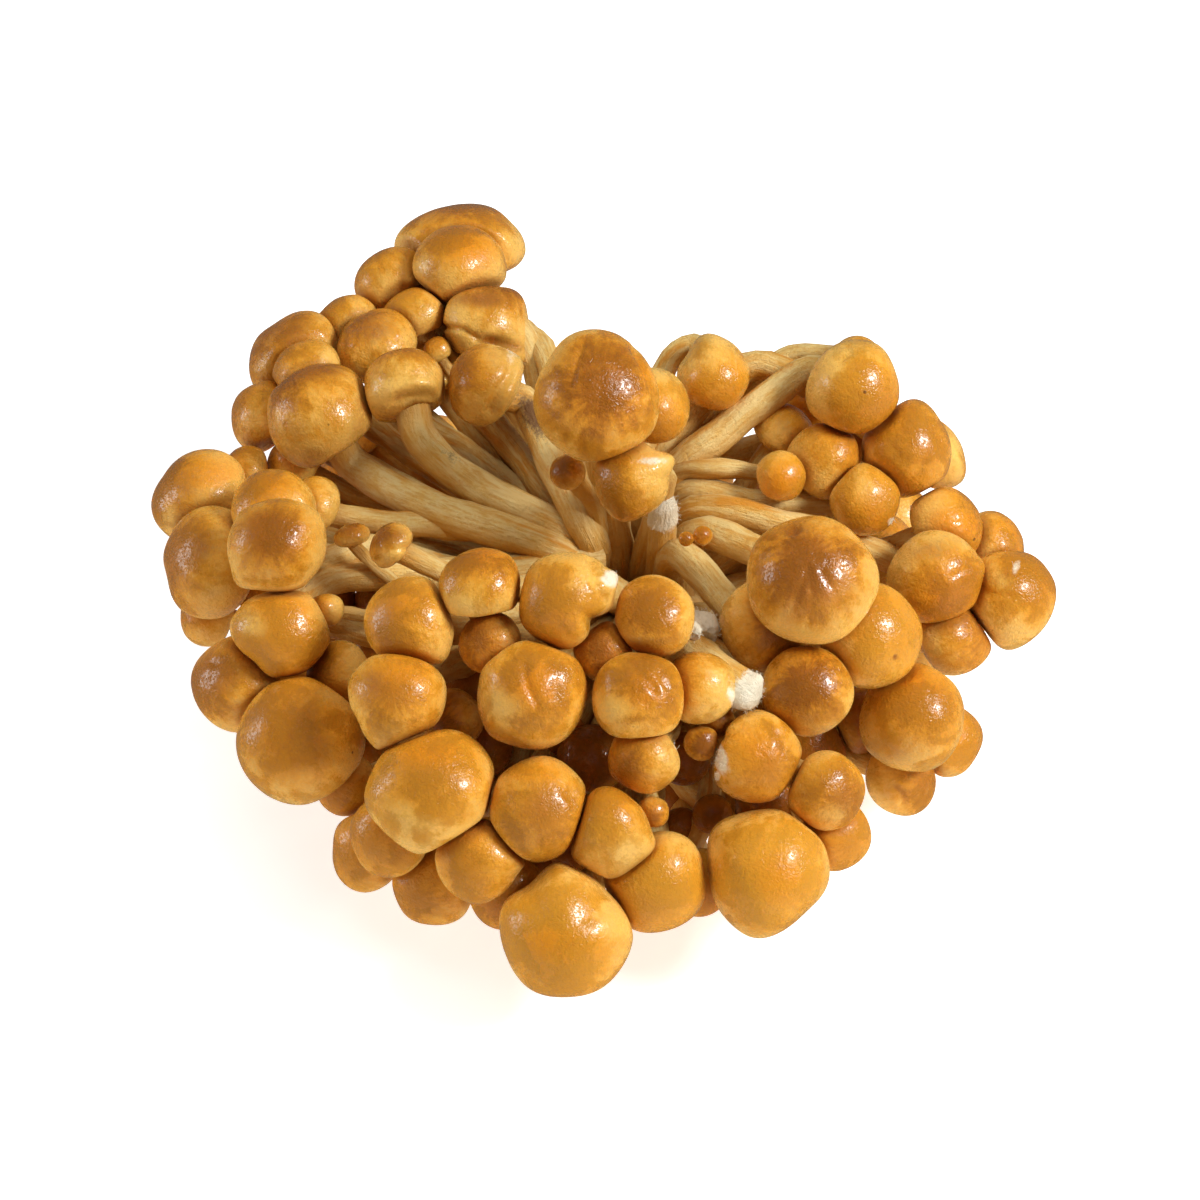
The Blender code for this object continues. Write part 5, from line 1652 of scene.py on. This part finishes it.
butt_points, butt_sides, butt_ends = butt_shape()
mesh = bpy.data.meshes.new("butt")
mesh.from_pydata((butt_points * MM).tolist(), [], butt_sides + butt_ends)
mesh.materials.append(stem_flesh)
mesh.shade_smooth()
butt = bpy.data.objects.new("butt", mesh)
bpy.context.scene.collection.objects.link(butt)
turns = np.arctan2(butt_points[:, 1], butt_points[:, 0])
carry(butt, "grain", np.stack([3 * np.cos(turns), 3 * np.sin(turns), butt_points[:, 2] * 0.06], axis=1))
# The butt is darkened toward its top, where the stems start: painted shade.
carry(butt, "deep", np.clip(butt_points[:, 2] / 30, 0, 1) * 0.6)
for name in ("along", "torn", "under", "orange", "bruise"):
    carry(butt, name, np.zeros(len(butt_points)))
dress(butt, "stem_flesh", "stems_and_butt")
print("butt stands at", round(float(butt_points[:, 2].min()), 3))

# %% [markdown]
# ## Pins between the caps
#
# A bunch is never empty between its caps: young mushrooms, pins of a few millimetres, stand in the
# gaps, and dark skins lie deep under the front. The dark skins, with a tone of 1, are painted shade
# in the gaps. They are too small for the solids, so they are made here alone, from the same ball as
# the other caps, and joined in one piece. Each is given by its place, its width and its tone.

# %% Pins
PINS = ((30.8, 25.0, -8, 9.0, 0.8), (8.8, -37.5, 30, 9.5, 1.0), (8.2, -50.5, 26, 8.0, 1.0),
        (-68.5, -8.0, 10, 7.0, 0.8), (42.0, 23.5, -6, 8.0, 0.9), (14.0, -47.5, 30, 7.0, 1.0),
        (-38.6, 46.6, -28, 8.0, 0.5), (-33.5, 45.0, -22, 8.0, 0.5), (12.2, 2.6, 25.5, 3.4, 0.5),
        (9.2, 2.0, 26, 2.6, 0.6), (-12.0, -34.0, 30, 8.0, 1.0), (-11.5, -54, 36, 8.0, 1.0))
# How much darker still the dark pins are painted: painted shade.
DEEP_PIN_SHADE = 0.7


def pin_cap(across, up, toward, width, tone, number):
    """A small round cap whose axis points away from the crown."""
    rng = np.random.default_rng(SEED + number)
    middle = at(across, up, toward)
    axis = unit(unit(middle - CROWN) + 0.6 * TOWARD)
    directions, faces = balls[COARSE]
    side, other = frame_of(axis)
    local = directions * (width / 2) * (1 + HIDDEN_LUMP * slow_lumps(directions, rng))[:, None]
    points = middle + local[:, :1] * side + local[:, 1:2] * other + 0.9 * local[:, 2:] * axis
    polar = np.arccos(np.clip(directions[:, 2], -1, 1))
    even = np.ones(len(points))
    numbers = {"polar": polar / math.pi, "tone": tone * even, "toast": DEEP_PIN_SHADE * even * (tone > 0.9)}
    return points, faces, numbers


pin_piece = fused("pins", [pin_cap(*pin, number) for number, pin in enumerate(PINS)], cap_skin)
dress(pin_piece, "cap_skin", "stems_and_butt")
print("pins:", len(PINS))

# %% [markdown]
# ## Light and floor
#
# The bunch stood in a light tent: white all round, a soft key lamp at the right whose glints break
# up on the wet skin, a weaker one from the left that draws a bright line along the edges, and a wide
# one overhead that only fills the shadows.

# %% Floor, lamps and world
LOOK_AT = Vector((0.0, -0.01, 0.035))


def lamp(name, from_reader, size, power):
    """A soft lamp at a place read as across, up and toward, in metres from the bunch."""
    data = bpy.data.lights.new(name, "AREA")
    data.shape = "RECTANGLE"
    data.size, data.size_y = size
    data.energy = power
    obj = bpy.data.objects.new(name, data)
    across, up, toward = from_reader
    obj.location = LOOK_AT + Vector(across * ACROSS + up * UP + toward * TOWARD)
    obj.rotation_euler = (LOOK_AT - obj.location).to_track_quat("-Z", "Y").to_euler()
    bpy.context.scene.collection.objects.link(obj)
    return obj


lamp("key lamp", (0.56, 0.27, 0.54), (0.26, 0.20), 5.8)
lamp("edge lamp", (-0.80, 0.12, 0.05), (0.30, 0.50), 1.7)
roof = lamp("roof lamp", (-0.12, 0.62, 0.46), (0.60, 0.40), 2.25)
roof.visible_glossy = False     # it fills the shadows and leaves no haze on the wet skin

FLOOR = 2.5
floor_corners = [(-FLOOR, -FLOOR, 0), (FLOOR, -FLOOR, 0), (FLOOR, FLOOR, 0), (-FLOOR, FLOOR, 0)]
floor_mesh = bpy.data.meshes.new("floor")
floor_mesh.from_pydata(floor_corners, [], [(0, 1, 2, 3)])
floor = bpy.data.objects.new("floor", floor_mesh)
bpy.context.scene.collection.objects.link(floor)
floor_material, _, floor_inputs = new_material("pale floor")
floor_inputs["Base Color"].default_value = (0.93, 0.93, 0.93, 1)
floor_inputs["Roughness"].default_value = 0.9
floor_inputs["Emission Color"].default_value = (1, 1, 1, 1)
floor_inputs["Emission Strength"].default_value = 0.68
floor_mesh.materials.append(floor_material)
floor.visible_glossy = False     # its white leaves no haze on the skin that faces it

world = bpy.data.worlds.new("light tent")
world.use_nodes = True
tent = world.node_tree.nodes["Background"].inputs
tent["Color"].default_value = (1, 1, 1, 1)
tent["Strength"].default_value = 0.14
bpy.context.scene.world = world
bpy.context.scene.view_settings.view_transform = "Standard"
